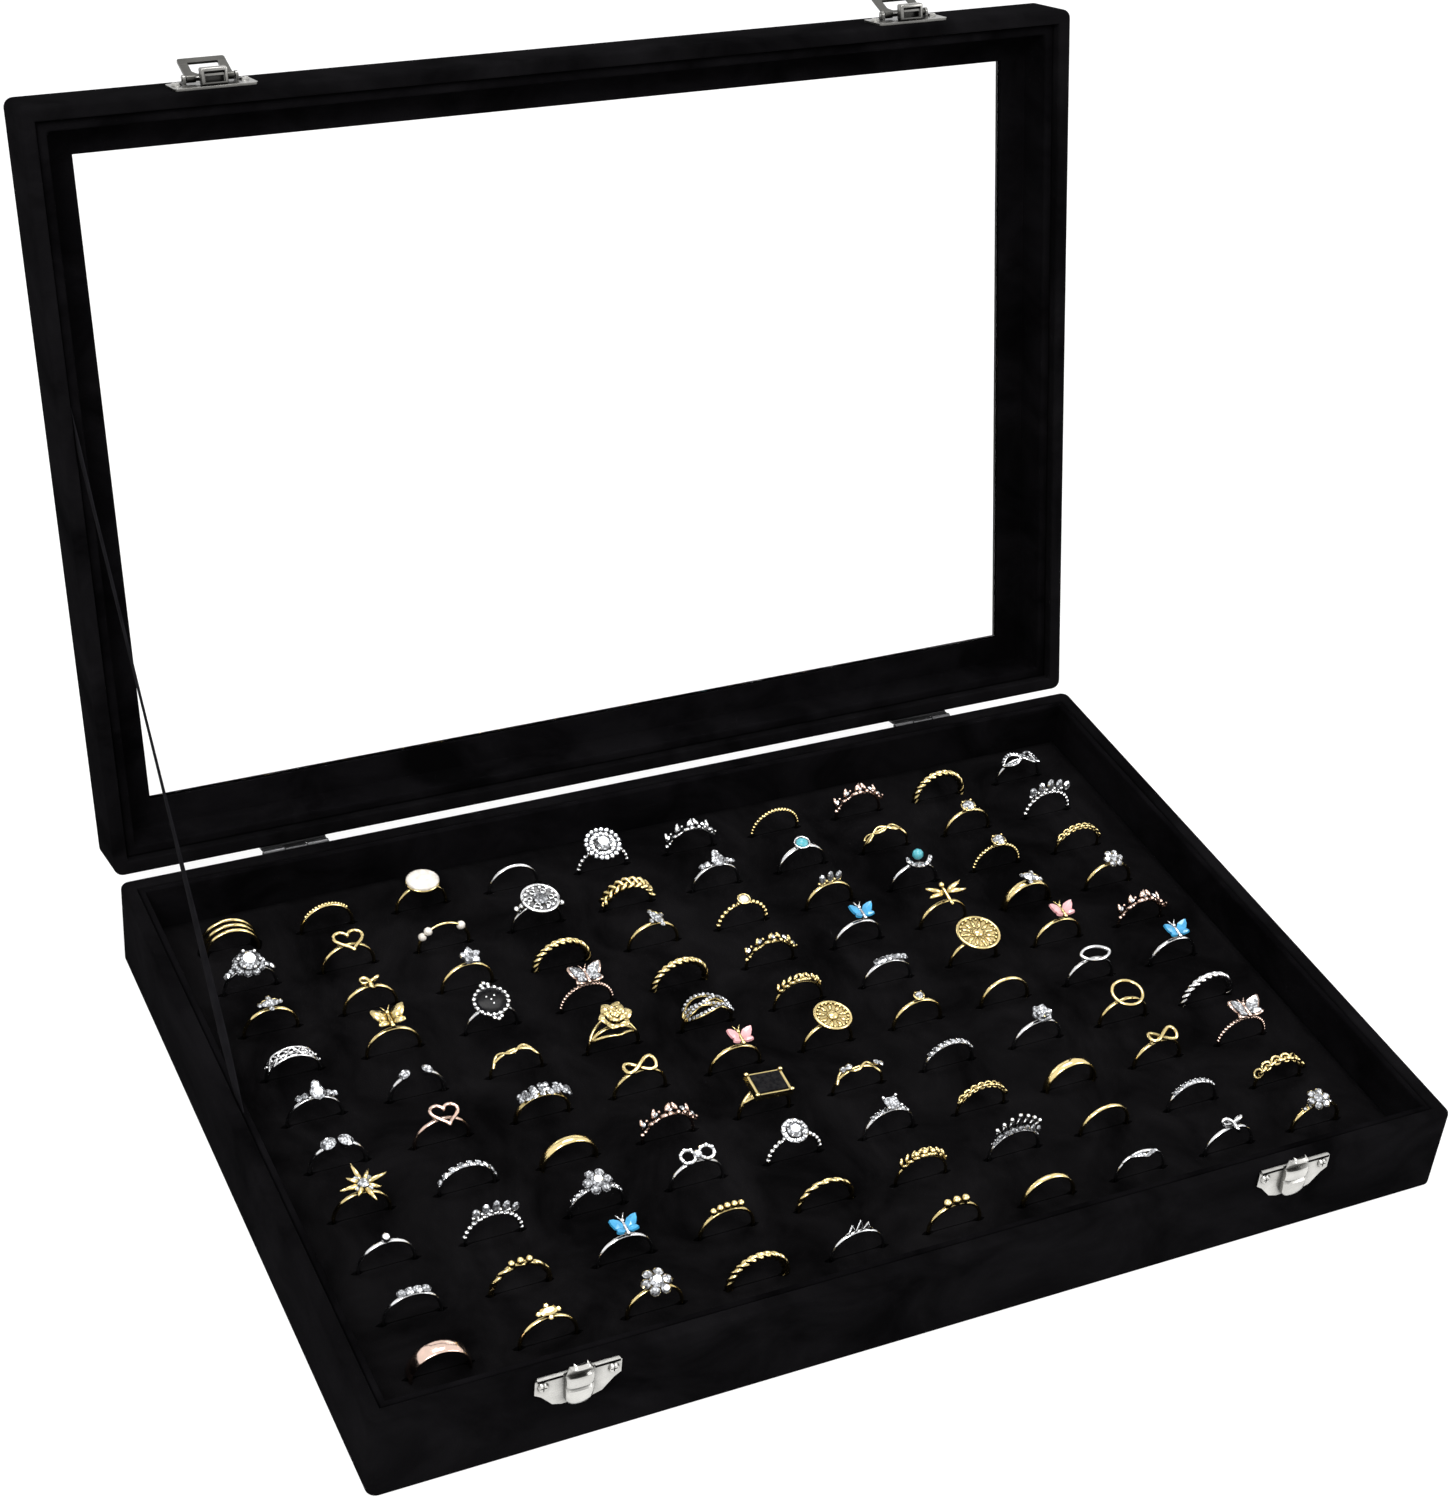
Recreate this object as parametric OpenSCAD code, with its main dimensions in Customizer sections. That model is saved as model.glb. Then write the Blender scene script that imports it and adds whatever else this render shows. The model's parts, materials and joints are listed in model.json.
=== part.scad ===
// Ring display box: a velvet-covered tray with a slotted foam pad that holds a hundred
// rings on edge, and a glass-topped lid on two butt hinges, held open by a ribbon and shut
// by two snap latches. The lid is drawn open, with the latch flaps swung back.
// Origin: centre of the tray's underside. +X right, -Y front (latch side), +Z up.

/* [Case] */
// Outside width, left to right
case_w = 351; // [340:1:420]
// Outside depth, front to back
case_d = 242; // [235:1:300]
// Height of the tray, floor to rim
tray_h = 30; // [28.5:0.5:34]
// Height of the lid's frame, rim to top
lid_h = 21.4; // [21:0.2:28]
// Gap between the two rims when the lid is shut
closing_gap = 0.3; // [0.3:0.05:0.5]
// Radius of the upright corners, over the cloth
corner_r = 3; // [2.5:0.5:5]
// Rounding of the cloth over the rims and edges
edge_r = 1.2; // [1.2:0.2:2]
// Angle between tray and lid where the ribbon pulls tight
open_angle = 105; // [95:1:112]

/* [Boards and cloth] */
// Thickness of the tray's four side boards
board_t = 3.2; // [3:0.2:5]
// Thickness of the velvet-covered liner that stands inside the tray's walls
tray_liner_t = 2; // [1.8:0.1:3]
// Depth of the liner's top below the tray's rim
tray_liner_drop = 0.3; // [0:0.1:1]
// Thickness of the velvet glued over boards and rails
cloth_t = 0.7; // [0.5:0.1:0.8]
// Thickness of the tray's floor board
floor_t = 3; // [2:0.5:4]
// Thickness of the felt sheet under the tray
felt_t = 0.8; // [0.5:0.1:1.2]
// Thickness of the lid's rails
rail_w = 3.2; // [3:0.2:5]
// How far the rails' top lip reaches in over the glass
lip_reach = 12.9; // [10:0.1:14]
// Thickness of the rails' top lip
lip_t = 1.5; // [1.2:0.1:2]
// Thickness of the glass pane
glass_t = 1.6; // [1.4:0.1:2]
// Thickness of the velvet-covered liner's foot, under the pane
liner_foot_t = 1; // [0.8:0.1:1.4]
// Thickness of the liner's walls, along the rails
liner_t = 3.3; // [2.8:0.1:4]
// Depth of the liner's edge below the lid's rim
liner_drop = 3; // [2:0.5:5]
// Clearance round pieces that are laid in: pane, liner, pad
lay_gap = 0.25; // [0.1:0.05:0.4]

/* [Ring pad] */
// Depth of the pad's top below the tray's rim
pad_drop = 14.7; // [12:0.1:16]
// Thickness of the card under the pad
card_t = 1.2; // [0.8:0.1:1.6]
// Distance of the first column of rings from the pad's left edge
margin_left = 21.1; // [18:0.05:26]
// Distance of the last column of rings from the pad's right edge
margin_right = 25.7; // [18:0.05:28]
// Distance of the front row of rings from the pad's front edge
margin_front = 16.55; // [14:0.05:20]
// Distance of the back row of rings from the pad's back edge
margin_back = 18.75; // [14:0.05:20]
// Finger size: inside radius of the rings
ring_in_r = 8; // [7.6:0.1:9]
// Thickness of a ring's shank
shank_t = 1.3; // [1.1:0.1:1.6]
// Width of a ring's shank, where the foam grips it
shank_w = 2; // [1.6:0.1:2.4]
// Height of a ring's centre above the pad
ring_rise = 0.6; // [0:0.1:2]
// Side-to-side spacing of the three thin bands in the first slit
stack_gap = 2.7; // [2.4:0.1:3]
// Clearance between a slit and the ring that it holds
slit_gap = 0.3; // [0.2:0.05:0.4]
// Spare length of a slit beyond each side of its ring
slit_spare = 1.5; // [1:0.1:2]

/* [Hinges] */
// Distance of each hinge's and latch's middle from the near end of the box
fitting_in = 59; // [50:1:75]
// Length of a hinge
hinge_l = 22; // [20:1:30]
// Width of a hinge leaf, from the pin's axis
leaf_w = 12; // [11:0.5:13]
// Thickness of the hinge leaves
leaf_t = 0.8; // [0.7:0.1:1]
// Outside radius of the hinge knuckles
knuckle_r = 1.2; // [1.1:0.1:2.2]
// Radius of the hinge pins
hinge_pin_r = 0.55; // [0.5:0.05:1]
// Depth of the hinge axis below the tray's rim
axis_drop = 1.7; // [0.8:0.1:2]
// Distance of a hinge's screws from the pin's axis
hinge_screw_z = 7.2; // [6.5:0.1:8]
// Distance of a hinge's screws from its middle
hinge_screw_x = 7; // [6:0.5:8]
// Radial clearance of pins in their knuckles
pin_fit = 0.05; // [0.03:0.01:0.08]
// Gap between neighbouring knuckles, and round moving metal
metal_gap = 0.3; // [0.3:0.05:0.4]

/* [Latches] */
// Length of the latch plates and catch plates
plate_l = 25.4; // [24:0.2:28]
// Thickness of the latch and catch plates
plate_t = 0.8; // [0.6:0.1:0.9]
// Width of the latch plates, up the lid's face
latch_plate_w = 11.6; // [11:0.2:12]
// Distance of the latch plates' lower edge from the lid's rim
latch_plate_s = 1.4; // [1.4:0.1:2]
// Distance of the flaps' pin from the lid's rim
latch_pin_s = 8.5; // [8.4:0.1:9]
// Distance of the flaps' pin from the lid's face
latch_pin_out = 2.3; // [2.3:0.05:2.5]
// Radius of the flaps' pins
latch_pin_r = 0.55; // [0.5:0.05:0.7]
// Outside radius of the flaps' barrels
barrel_r = 1.15; // [1.1:0.05:1.2]
// Length of a flap, from its pin to its tip
flap_l = 10.2; // [10:0.1:10.5]
// Width of a flap
flap_w = 14.5; // [14:0.1:15.5]
// Thickness of a flap
flap_t = 0.8; // [0.6:0.1:0.9]
// Width of the bar at a flap's tip
flap_bar = 2.4; // [2:0.1:2.6]
// Width of the window in a flap
window_w = 9.2; // [9:0.1:9.6]
// Angle between an open flap and the lid's face
flap_rest = 25; // [20:1:35]
// Height of the stop bridge on a latch plate, from the lid's face
bridge_h = 4.2; // [3.5:0.1:4.4]
// Width of the stop bridge
bridge_w = 7; // [6:0.2:7]
// Thickness of the stop bridge's metal
bridge_t = 0.7; // [0.5:0.1:0.8]
// Distance of the catch plates' top edge below the tray's rim
catch_drop = 1; // [0.8:0.1:1.4]
// Height of the catch plates at their middle
catch_plate_h = 12; // [11.5:0.1:12.5]
// Height of the catch plates at their ends
catch_end_h = 6.5; // [6:0.1:7.5]
// Width of the hook that the flap snaps over
hook_w = 8.2; // [7.6:0.1:8.3]
// How far the hook's belly stands out from the tray
hook_belly = 2.9; // [2.5:0.1:3.2]
// How far the hook's nose stands out from the tray
hook_nose = 4; // [3.7:0.1:4.2]

/* [Small parts] */
// Radius of the screws' shanks
screw_r = 0.8; // [0.7:0.05:1]
// Radius of the screws' heads
screw_head_r = 1.7; // [1.5:0.1:1.9]
// Height of the screws' heads
screw_head_t = 0.7; // [0.5:0.1:0.9]
// Wood left beyond the ends of screws and tacks
screw_stop = 0.6; // [0.4:0.1:0.8]
// Distance of the plates' screws from their middle
plate_screw_x = 10.3; // [10.2:0.1:10.6]
// Radial clearance round screws and tacks
screw_fit = 0.05; // [0.03:0.01:0.1]
// Width of the lid's ribbon
ribbon_w = 5.6; // [5:0.2:7]
// Thickness of the ribbon
ribbon_t = 0.6; // [0.4:0.1:0.8]
// How far the ribbon sags at its middle
ribbon_sag = 3; // [2:0.5:6]
// Distance of the ribbon's upper tack from the hinge axis, along the lid
ribbon_lid_r = 161; // [140:1:170]
// Distance of the ribbon's upper tack from the lid's rim
ribbon_lid_s = 7; // [6:0.5:9]
// Place of the ribbon's lower tack, front to back
ribbon_tray_y = -10; // [-14:1:0]
// Depth of the ribbon's lower tack below the pad's top
ribbon_tray_drop = 1; // [1:0.5:7]
// Radius of the tacks' heads
tack_head_r = 1.6; // [1.4:0.1:2]
// Thickness of the tacks' heads
tack_head_t = 0.7; // [0.5:0.1:0.8]
// Radius of the tacks' shanks
tack_r = 0.5; // [0.4:0.05:0.6]

/* [Hidden] */

$fn = 32;
over = 1;                                       // how far a cut runs past the face it opens
rows = 10;
columns = 10;
left = -1;
right = 1;

// Tray, from the underside up
wall_t = board_t + 2 * cloth_t;                 // wall with cloth on both sides
in_w = case_w - 2 * wall_t;                     // clear inside of the tray
in_d = case_d - 2 * wall_t;
floor_top = felt_t + floor_t;
card_top = floor_top + card_t;
pad_top = tray_h - pad_drop;
pad_w = in_w - 2 * tray_liner_t - 4 * lay_gap;  // inside the liner, with a gap on each side
pad_d = in_d - 2 * tray_liner_t - 4 * lay_gap;
pitch_x = (pad_w - margin_left - margin_right) / (columns - 1);
pitch_y = (pad_d - margin_front - margin_back) / (rows - 1);
fitting_x = case_w / 2 - fitting_in;

// Hinge axis, and the shut lid that is turned open about it
hinge_y = case_d / 2 + knuckle_r + pin_fit * 2;
hinge_z = tray_h - axis_drop;
lid_z = tray_h + closing_gap;
rail_wall = rail_w + 2 * cloth_t;               // lid wall with cloth on both sides
lid_in_w = case_w - 2 * rail_wall;
lid_in_d = case_d - 2 * rail_wall;
glass_top_s = lid_h - cloth_t - lip_t;          // s: height above the lid's own rim
liner_top_s = glass_top_s - glass_t;
liner_foot_s = liner_top_s - liner_foot_t;
window_in = rail_wall + lip_reach;              // from the lid's edge to its window's edge

// Rings and slits
ring_r = ring_in_r + shank_t;
ring_z = pad_top + ring_rise;
slit_depth = ring_r - ring_rise + slit_gap;
slit_l = 2 * (ring_r + slit_spare);

// Knuckles along a hinge: two on the tray's leaf, one between them on the lid's
knuckle_mid = hinge_l / 3;

// Latches, in the shut lid
latch_pin_y = -case_d / 2 - latch_pin_out;
latch_pin_z = lid_z + latch_pin_s;
flap_tip_z = latch_pin_z - flap_l;
ear_t = 0.9;
ear_r = 1.3;
bridge_low_s = 3;
bridge_high_s = 6;
window_root = 1.7;                              // from the pin's axis to the window
window_round = 5.6;                             // radius of the window's root side
window_round_u = 6.4;                           // its centre, from the pin's axis
barrel_l = 2.8;
catch_top = tray_h - catch_drop;
catch_low = catch_top - catch_plate_h;
catch_end = catch_top - catch_end_h;
catch_screw_z = (catch_top + catch_end) / 2;
latch_rivet_z = lid_z + latch_plate_s + latch_plate_w / 2 + 1.4;
hook_gap = 0.4;                                 // between the hook and the shut flap's bar
hook_groove = latch_pin_out - flap_t / 2 - hook_gap;
hook_neck_t = 0.7;
nose_h = 1.5;
nose_w = hook_w - 1.6;
fold_t = 0.6;
fold_h = 0.9;

// Ribbon: from a tack in the tray's left wall to one in the lid's left rail
tray_tack = [-in_w / 2, ribbon_tray_y, pad_top - ribbon_tray_drop];
lid_tack_shut = [-lid_in_w / 2, hinge_y - ribbon_lid_r, lid_z + ribbon_lid_s];
lid_tack = opened(lid_tack_shut);
ribbon_end = 3.5;                               // ribbon beyond each tack
ribbon_steps = 14;
notch_w = 26;
tray_grip = board_t - screw_stop;               // screws and tacks stop inside the wood
lid_grip = rail_w - screw_stop;

function opened(p) = [
    p.x,
    hinge_y + (p.y - hinge_y) * cos(open_angle) + (p.z - hinge_z) * sin(open_angle),
    hinge_z - (p.y - hinge_y) * sin(open_angle) + (p.z - hinge_z) * cos(open_angle)];

// One letter for each ring, left to right, with the back row first:
// p plain, w wide, r rope, b beads, t three thin bands, d disc, h halo, o open outline,
// i figure eight, l leaves, c open cuff, s single stone, m stone cluster, y butterfly,
// k tiara, x crossover, q square, g rose, a starburst
ring_rows = [
    "tpdphlblrx",
    "hocdrssxsk",
    "msmrmbksbr",
    "wydyrbyylm",
    "scxgxlbdyl",
    "coliydspoy",
    "abwlqrbgor",
    "skhmsqrwiy",
    "brybblkpbr",
    "wmhrrbpkih"];

// ---------------------------------------------------------------- shapes used often

// Flat outline with round corners, kept as true arcs
module plate2d(w, d, r) {
    square([w - 2 * r, d], center = true);
    square([w, d - 2 * r], center = true);
    for (x = [-1, 1], y = [-1, 1])
        translate([x * (w / 2 - r), y * (d / 2 - r)])
            circle(r);
}

// Slot with round ends, along X
module slot2d(l, w) {
    square([l - w, w], center = true);
    for (x = [-1, 1])
        translate([x * (l - w) / 2, 0])
            circle(w / 2);
}

module slab(w, d, low, high, r) {
    translate([0, 0, low])
        linear_extrude(high - low)
            plate2d(w, d, r);
}

module opening(w, d, low, high) {
    translate([-w / 2, -d / 2, low])
        cube([w, d, high - low]);
}

// Cloth-covered outside of the tray or lid; soft says which of the edges are rounded
module cloth_block(low, high, soft_low) {
    hull()
        for (x = [-1, 1], y = [-1, 1])
            translate([x * (case_w / 2 - corner_r), y * (case_d / 2 - corner_r), 0]) {
                translate([0, 0, low + (soft_low ? edge_r : 0)])
                    cylinder(r = corner_r, h = high - low - (soft_low ? 2 : 1) * edge_r);
                translate([0, 0, high - edge_r])
                    corner_ring();
                if (soft_low)
                    translate([0, 0, low + edge_r])
                        corner_ring();
            }
}

module corner_ring() {
    rotate_extrude()
        intersection() {
            translate([corner_r - edge_r, 0]) circle(edge_r, $fn = 24);
            translate([0, -edge_r]) square([corner_r, 2 * edge_r]);
        }
}

// The quarter of a frame on one side, cut at the mitres: 0 front, 1 right, 2 back, 3 left
module mitred(side) {
    reach = case_d / 4;
    w = (side % 2 == 0 ? case_w : case_d) / 2;
    d = (side % 2 == 0 ? case_d : case_w) / 2;
    intersection() {
        children();
        rotate([0, 0, side * 90])
            translate([0, 0, -over])
                linear_extrude(tray_h + lid_h + 3 * over)
                    polygon([[-w, -d], [w, -d], [w - reach, -d + reach], [-w + reach, -d + reach]]);
    }
}

// Turns what is drawn for the shut lid to where it stands open
module in_lid() {
    translate([0, hinge_y, hinge_z])
        rotate([-open_angle, 0, 0])
            translate([0, -hinge_y, -hinge_z])
                children();
}

// Pan-head screw: its head's seat at the origin, its shank down -Z
module screw(under, grip) {
    difference() {
        union() {
            cylinder(r1 = screw_head_r, r2 = screw_head_r - screw_head_t * 0.6, h = screw_head_t);
            translate([0, 0, -under - grip])
                cylinder(r = screw_r, h = under + grip + over / 4);
        }
        for (turn = [0, 90])
            rotate([0, 0, turn])
                translate([-screw_head_r * 0.6, -0.18, screw_head_t * 0.5])
                    cube([screw_head_r * 1.2, 0.36, screw_head_t]);
    }
}

module screw_hole(depth) {
    translate([0, 0, -depth - screw_fit])
        cylinder(r = screw_r + screw_fit, h = depth + screw_fit + over);
}

// Dome-headed tack along +X: its head's seat at the origin, its shank towards -X
module tack(under, grip) {
    rotate([0, 90, 0]) {
        cylinder(r1 = tack_head_r, r2 = tack_head_r * 0.6, h = tack_head_t);
        translate([0, 0, -under - grip])
            cylinder(r = tack_r, h = under + grip + over / 4);
    }
}

module tack_hole(depth) {
    rotate([0, 90, 0])
        translate([0, 0, -depth - screw_fit])
            cylinder(r = tack_r + screw_fit, h = depth + screw_fit + over);
}

// ---------------------------------------------------------------- places of the fixings

module at_hinge_screws(up) {
    for (side = [left, right], end = [-1, 1])
        translate([side * fitting_x + end * hinge_screw_x, case_d / 2 + leaf_t, hinge_z + up * hinge_screw_z])
            rotate([-90, 0, 0])
                children();
}

module at_plate_screws(z) {
    for (side = [left, right], end = [-1, 1])
        translate([side * fitting_x + end * plate_screw_x, -case_d / 2 - plate_t, z])
            rotate([90, 0, 0])
                children();
}

module tray_holes() {
    at_hinge_screws(-1) screw_hole(leaf_t + cloth_t + tray_grip);
    at_plate_screws(catch_screw_z) screw_hole(plate_t + cloth_t + tray_grip);
    translate(tray_tack) tack_hole(cloth_t + tray_grip);
}

module lid_holes() {
    at_hinge_screws(1) screw_hole(leaf_t + cloth_t + lid_grip);
    at_plate_screws(latch_rivet_z) screw_hole(plate_t + cloth_t + lid_grip);
    translate(lid_tack_shut) tack_hole(cloth_t + lid_grip);
}

// ---------------------------------------------------------------- tray

module underside_felt() {
    color("#1c1c1e")
        slab(case_w - 2 * cloth_t, case_d - 2 * cloth_t, 0, felt_t, corner_r - cloth_t);
}

module floor_board() {
    board_in = 2 * (cloth_t + board_t);
    color("#b08a5e")
        opening(case_w - board_in, case_d - board_in, felt_t, floor_top);
}

// The volume of the four side boards together
module board_frame() {
    board_in = 2 * (cloth_t + board_t);
    difference() {
        slab(case_w - 2 * cloth_t, case_d - 2 * cloth_t, felt_t, tray_h - cloth_t, corner_r - cloth_t);
        opening(case_w - board_in, case_d - board_in, 0, tray_h);
    }
}

module side_board(side) {
    color("#b08a5e")
        difference() {
            mitred(side) board_frame();
            tray_holes();
        }
}

module tray_velvet() {
    color("#141418")
        difference() {
            cloth_block(0, tray_h, false);
            opening(in_w, in_d, -over, tray_h + over);
            opening(in_w + 2 * cloth_t, in_d + 2 * cloth_t, -over, floor_top);
            difference() {
                slab(case_w - 2 * cloth_t, case_d - 2 * cloth_t, -over, tray_h - cloth_t, corner_r - cloth_t);
                opening(in_w + 2 * cloth_t, in_d + 2 * cloth_t, -2 * over, tray_h);
            }
            tray_holes();
        }
}

// Velvet-covered strip all round the inside, recessed behind for the ribbon and its tack
module tray_liner() {
    liner_w = in_w - 2 * lay_gap;
    liner_d = in_d - 2 * lay_gap;
    recess_low = tray_tack.y - ribbon_w - ribbon_end;
    recess_high = tray_tack.y + (tray_h - tray_tack.z) * ribbon_run.x / ribbon_run.y + ribbon_w;
    color("#17171b")
        difference() {
            opening(liner_w, liner_d, floor_top, tray_h - tray_liner_drop);
            opening(liner_w - 2 * tray_liner_t, liner_d - 2 * tray_liner_t, 0, tray_h + over);
            translate([-in_w / 2 - over, recess_low, tray_tack.z - ribbon_w])
                cube([over + ribbon_t + tack_head_t + lay_gap, recess_high - recess_low, tray_h]);
        }
}

module pad_card() {
    color("#8d8a84")
        opening(pad_w, pad_d, floor_top, card_top);
}

function slit_x(column) = -pad_w / 2 + margin_left + column * pitch_x;
function slit_y(row) = pad_d / 2 - margin_back - row * pitch_y;
function slit_w(kind) = (kind == "t" ? shank_w + 2 * stack_gap : shank_w) + 2 * slit_gap;

module ring_pad() {
    color("#101014")
        difference() {
            slab(pad_w, pad_d, card_top, pad_top, edge_r);
            for (row = [0:rows - 1], column = [0:columns - 1])
                translate([slit_x(column), slit_y(row), pad_top - slit_depth])
                    linear_extrude(slit_depth + over)
                        slot2d(slit_l, slit_w(ring_rows[row][column]));
        }
}

// ---------------------------------------------------------------- rings
// Each ring stands on edge at the origin, its axis along Y and its crown at the top

module band(width, thick, from = 0, to = 360) {
    rotate([90, 0, 0])
        rotate([0, 0, from])
            rotate_extrude(angle = to - from, $fn = 64)
                translate([ring_in_r, 0])
                    polygon([
                        [0, -width / 2], [thick * 0.6, -width / 2], [thick, -width * 0.3],
                        [thick, width * 0.3], [thick * 0.6, width / 2], [0, width / 2]]);
}

module on_crown(angle = 90, lift = 0) {
    rotate([0, 90 - angle, 0])
        translate([0, 0, ring_r + lift])
            children();
}

// Bead on a crown: a drum with a coned top
module bead(radius) {
    cylinder(r = radius, h = radius, center = true);
    translate([0, 0, radius / 2])
        cylinder(r1 = radius, r2 = radius / 2, h = radius / 2);
}

module loop(radius, wire) {
    linear_extrude(2 * wire)
        difference() {
            circle(radius + wire);
            circle(radius - wire);
        }
}

module ring(kind) {
    if (kind == "t") {
        for (y = [-1, 0, 1])
            translate([0, y * stack_gap, 0])
                band(shank_w * 0.75, shank_t);
    } else if (kind == "c") {
        band(shank_w, shank_t, 118, 422);
        for (angle = [62, 118])
            on_crown(angle)
                bead(1.9);
    } else {
        band(shank_w, shank_t);
        if (kind == "w") band(5, shank_t, 30, 150);
        if (kind == "r") band(3.4, shank_t, 30, 150);
        if (kind == "b")
            for (angle = [48:14:132])
                on_crown(angle, -0.3)
                    bead(1.1);
        if (kind == "d") {
            on_crown(90, -0.4)
                cylinder(r = 5.6, h = 1.4);
        }
        if (kind == "h")
            on_crown(90, -0.6) {
                cylinder(r = 4.6, h = 1.6);
                cylinder(r1 = 3, r2 = 1.8, h = 3);
            }
        if (kind == "o") on_crown(90, -1) loop(3.8, 0.6);
        if (kind == "i")
            for (x = [-2.4, 2.4])
                on_crown(90, -0.6)
                    translate([x, 0, 0])
                        loop(2.3, 0.6);
        if (kind == "l")
            for (angle = [70:20:110])
                on_crown(angle, -0.4)
                    translate([0, (angle - 90) / 18, 0])
                        cylinder(r = 2, h = 0.9);
        if (kind == "s")
            on_crown(90, -0.3) {
                cylinder(r1 = 1, r2 = 2.1, h = 1.8);
                translate([0, 0, 1.6]) cylinder(r1 = 2.1, r2 = 1.2, h = 0.8);
            }
        if (kind == "m")
            on_crown(90, -0.4) {
                cylinder(r = 1.7, h = 2.4);
                for (turn = [45:90:315])
                    rotate([0, 0, turn])
                        translate([2.6, 0, 0])
                            cylinder(r = 1.5, h = 1.5);
            }
        if (kind == "y")
            on_crown(90, -0.3) {
                for (x = [-1, 1]) {
                    translate([x * 3, 1.9, 0]) cylinder(r = 3, h = 1);
                    translate([x * 2.4, -2.2, 0]) cylinder(r = 2.3, h = 1);
                }
                translate([0, 3.8, 0.8]) rotate([90, 0, 0]) cylinder(r = 0.8, h = 7);
            }
        if (kind == "k")
            for (angle = [54:12:126])
                on_crown(angle, -0.4)
                    cylinder(r1 = 1.3, r2 = 0.5, h = 3.4 - abs(angle - 90) / 18);
        if (kind == "x")
            for (turn = [-13, 13])
                rotate([0, 0, turn])
                    band(2.2, shank_t, 35, 145);
        if (kind == "q") on_crown(90, -0.5) translate([-3.6, -3.6, 0]) cube([7.2, 7.2, 2]);
        if (kind == "g")
            on_crown(90, -0.4) {
                cylinder(r = 4.2, h = 1.2);
                cylinder(r = 3, h = 2.1);
                cylinder(r = 1.6, h = 3);
            }
        if (kind == "a")
            on_crown(90, -0.4) {
                cylinder(r = 2.8, h = 1.8);
                for (turn = [0:36:324])
                    rotate([0, 0, turn])
                        translate([0, -0.45, 0.3])
                            cube([5.6, 0.9, 0.9]);
            }
    }
}

module rings_row(row) {
    color("#d8b067")
        for (column = [0:columns - 1])
            translate([slit_x(column), slit_y(row), ring_z])
                ring(ring_rows[row][column]);
}

// ---------------------------------------------------------------- hinges

// One leaf, drawn along +Z from the pin's axis for the lid, mirrored down for the tray
module hinge_leaf(side, on_lid) {
    half = hinge_l / 2;
    mid = knuckle_mid / 2;
    clear_r = knuckle_r + metal_gap;
    color("#b9bbbd")
        translate([side * fitting_x, 0, hinge_z])
            mirror([0, 0, on_lid ? 0 : 1])
                difference() {
                    union() {
                        translate([-half, case_d / 2, 0])
                            cube([hinge_l, leaf_t, leaf_w]);
                        translate([-half, hinge_y, 0])
                            rotate([0, 90, 0])
                                cylinder(r = knuckle_r, h = hinge_l);
                    }
                    if (on_lid) {
                        for (start = [-half - over, mid])
                            translate([start, case_d / 2 - over, -clear_r])
                                cube([half - mid + over, clear_r * 2 + 2 * over, clear_r * 2]);
                        translate([-half, case_d / 2 - over, -over])
                            cube([hinge_l, over + leaf_t / 2, axis_drop + closing_gap + edge_r / 2 + over]);
                    } else {
                        translate([-mid - metal_gap, case_d / 2 - over, -clear_r])
                            cube([knuckle_mid + 2 * metal_gap, clear_r * 2 + 2 * over, clear_r * 2]);
                    }
                    translate([-half - over, hinge_y, 0])
                        rotate([0, 90, 0])
                            cylinder(r = hinge_pin_r + pin_fit, h = hinge_l + 2 * over);
                    for (end = [-1, 1])
                        translate([end * hinge_screw_x, case_d / 2 - over, hinge_screw_z])
                            rotate([-90, 0, 0])
                                cylinder(r = screw_r + screw_fit, h = leaf_t + 2 * over);
                }
}

module hinge_pin(side) {
    tip = 0.3;
    color("#8f9295")
        translate([side * fitting_x - hinge_l / 2 - tip, hinge_y, hinge_z])
            rotate([0, 90, 0])
                cylinder(r = hinge_pin_r, h = hinge_l + 2 * tip);
}

module hinge_screws(up, grip) {
    color("#a5a7a9")
        at_hinge_screws(up) screw(leaf_t + cloth_t, grip);
}

// ---------------------------------------------------------------- catches on the tray

module catch_outline() {
    half = plate_l / 2;
    polygon([
        [-half + 0.8, catch_top], [half - 0.8, catch_top], [half, catch_top - 0.8],
        [half, catch_end + 0.8], [half - 2, catch_end - 0.6], [half - 5.4, catch_low + 0.9],
        [half - 8.2, catch_low], [-half + 8.2, catch_low], [-half + 5.4, catch_low + 0.9],
        [-half + 2, catch_end - 0.6], [-half, catch_end + 0.8], [-half, catch_top - 0.8]]);
}

// Side view of the hook: x is the distance out from the tray's face, y is height
module hook_profile() {
    belly_top = flap_tip_z - hook_gap;
    nose_low = flap_tip_z + flap_bar + hook_gap;
    nose_top = nose_low + nose_h;
    neck_back = hook_groove - hook_neck_t;
    low = catch_low - 0.2;
    polygon([
        [plate_t / 2, low], [hook_belly * 0.6, low + 0.3], [hook_belly * 0.9, low + 1.9],
        [hook_belly, low + 4.8], [hook_belly - 0.2, belly_top - 2.6], [hook_groove, belly_top],
        [hook_groove, nose_low], [hook_nose - 0.6, nose_low], [hook_nose, nose_low + 0.5],
        [hook_nose - 0.2, nose_low + 1.1], [hook_nose - 1.1, nose_top], [plate_t + 1.1, nose_top],
        [plate_t + metal_gap + 0.1, nose_top - 0.7], [plate_t + metal_gap + 0.1, catch_top + 1],
        [neck_back, catch_top], [plate_t / 2, catch_top]]);
}

// Front view of the hook: a tongue with a round foot and a narrower nose
module hook_outline() {
    foot_z = catch_low - 0.2 + hook_w / 2;
    translate([0, foot_z]) circle(hook_w / 2);
    translate([-hook_w / 2, foot_z]) square([hook_w, catch_top + 0.4 - foot_z]);
    translate([-nose_w / 2, foot_z]) square([nose_w, lid_z + latch_pin_s - foot_z]);
}

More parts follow.
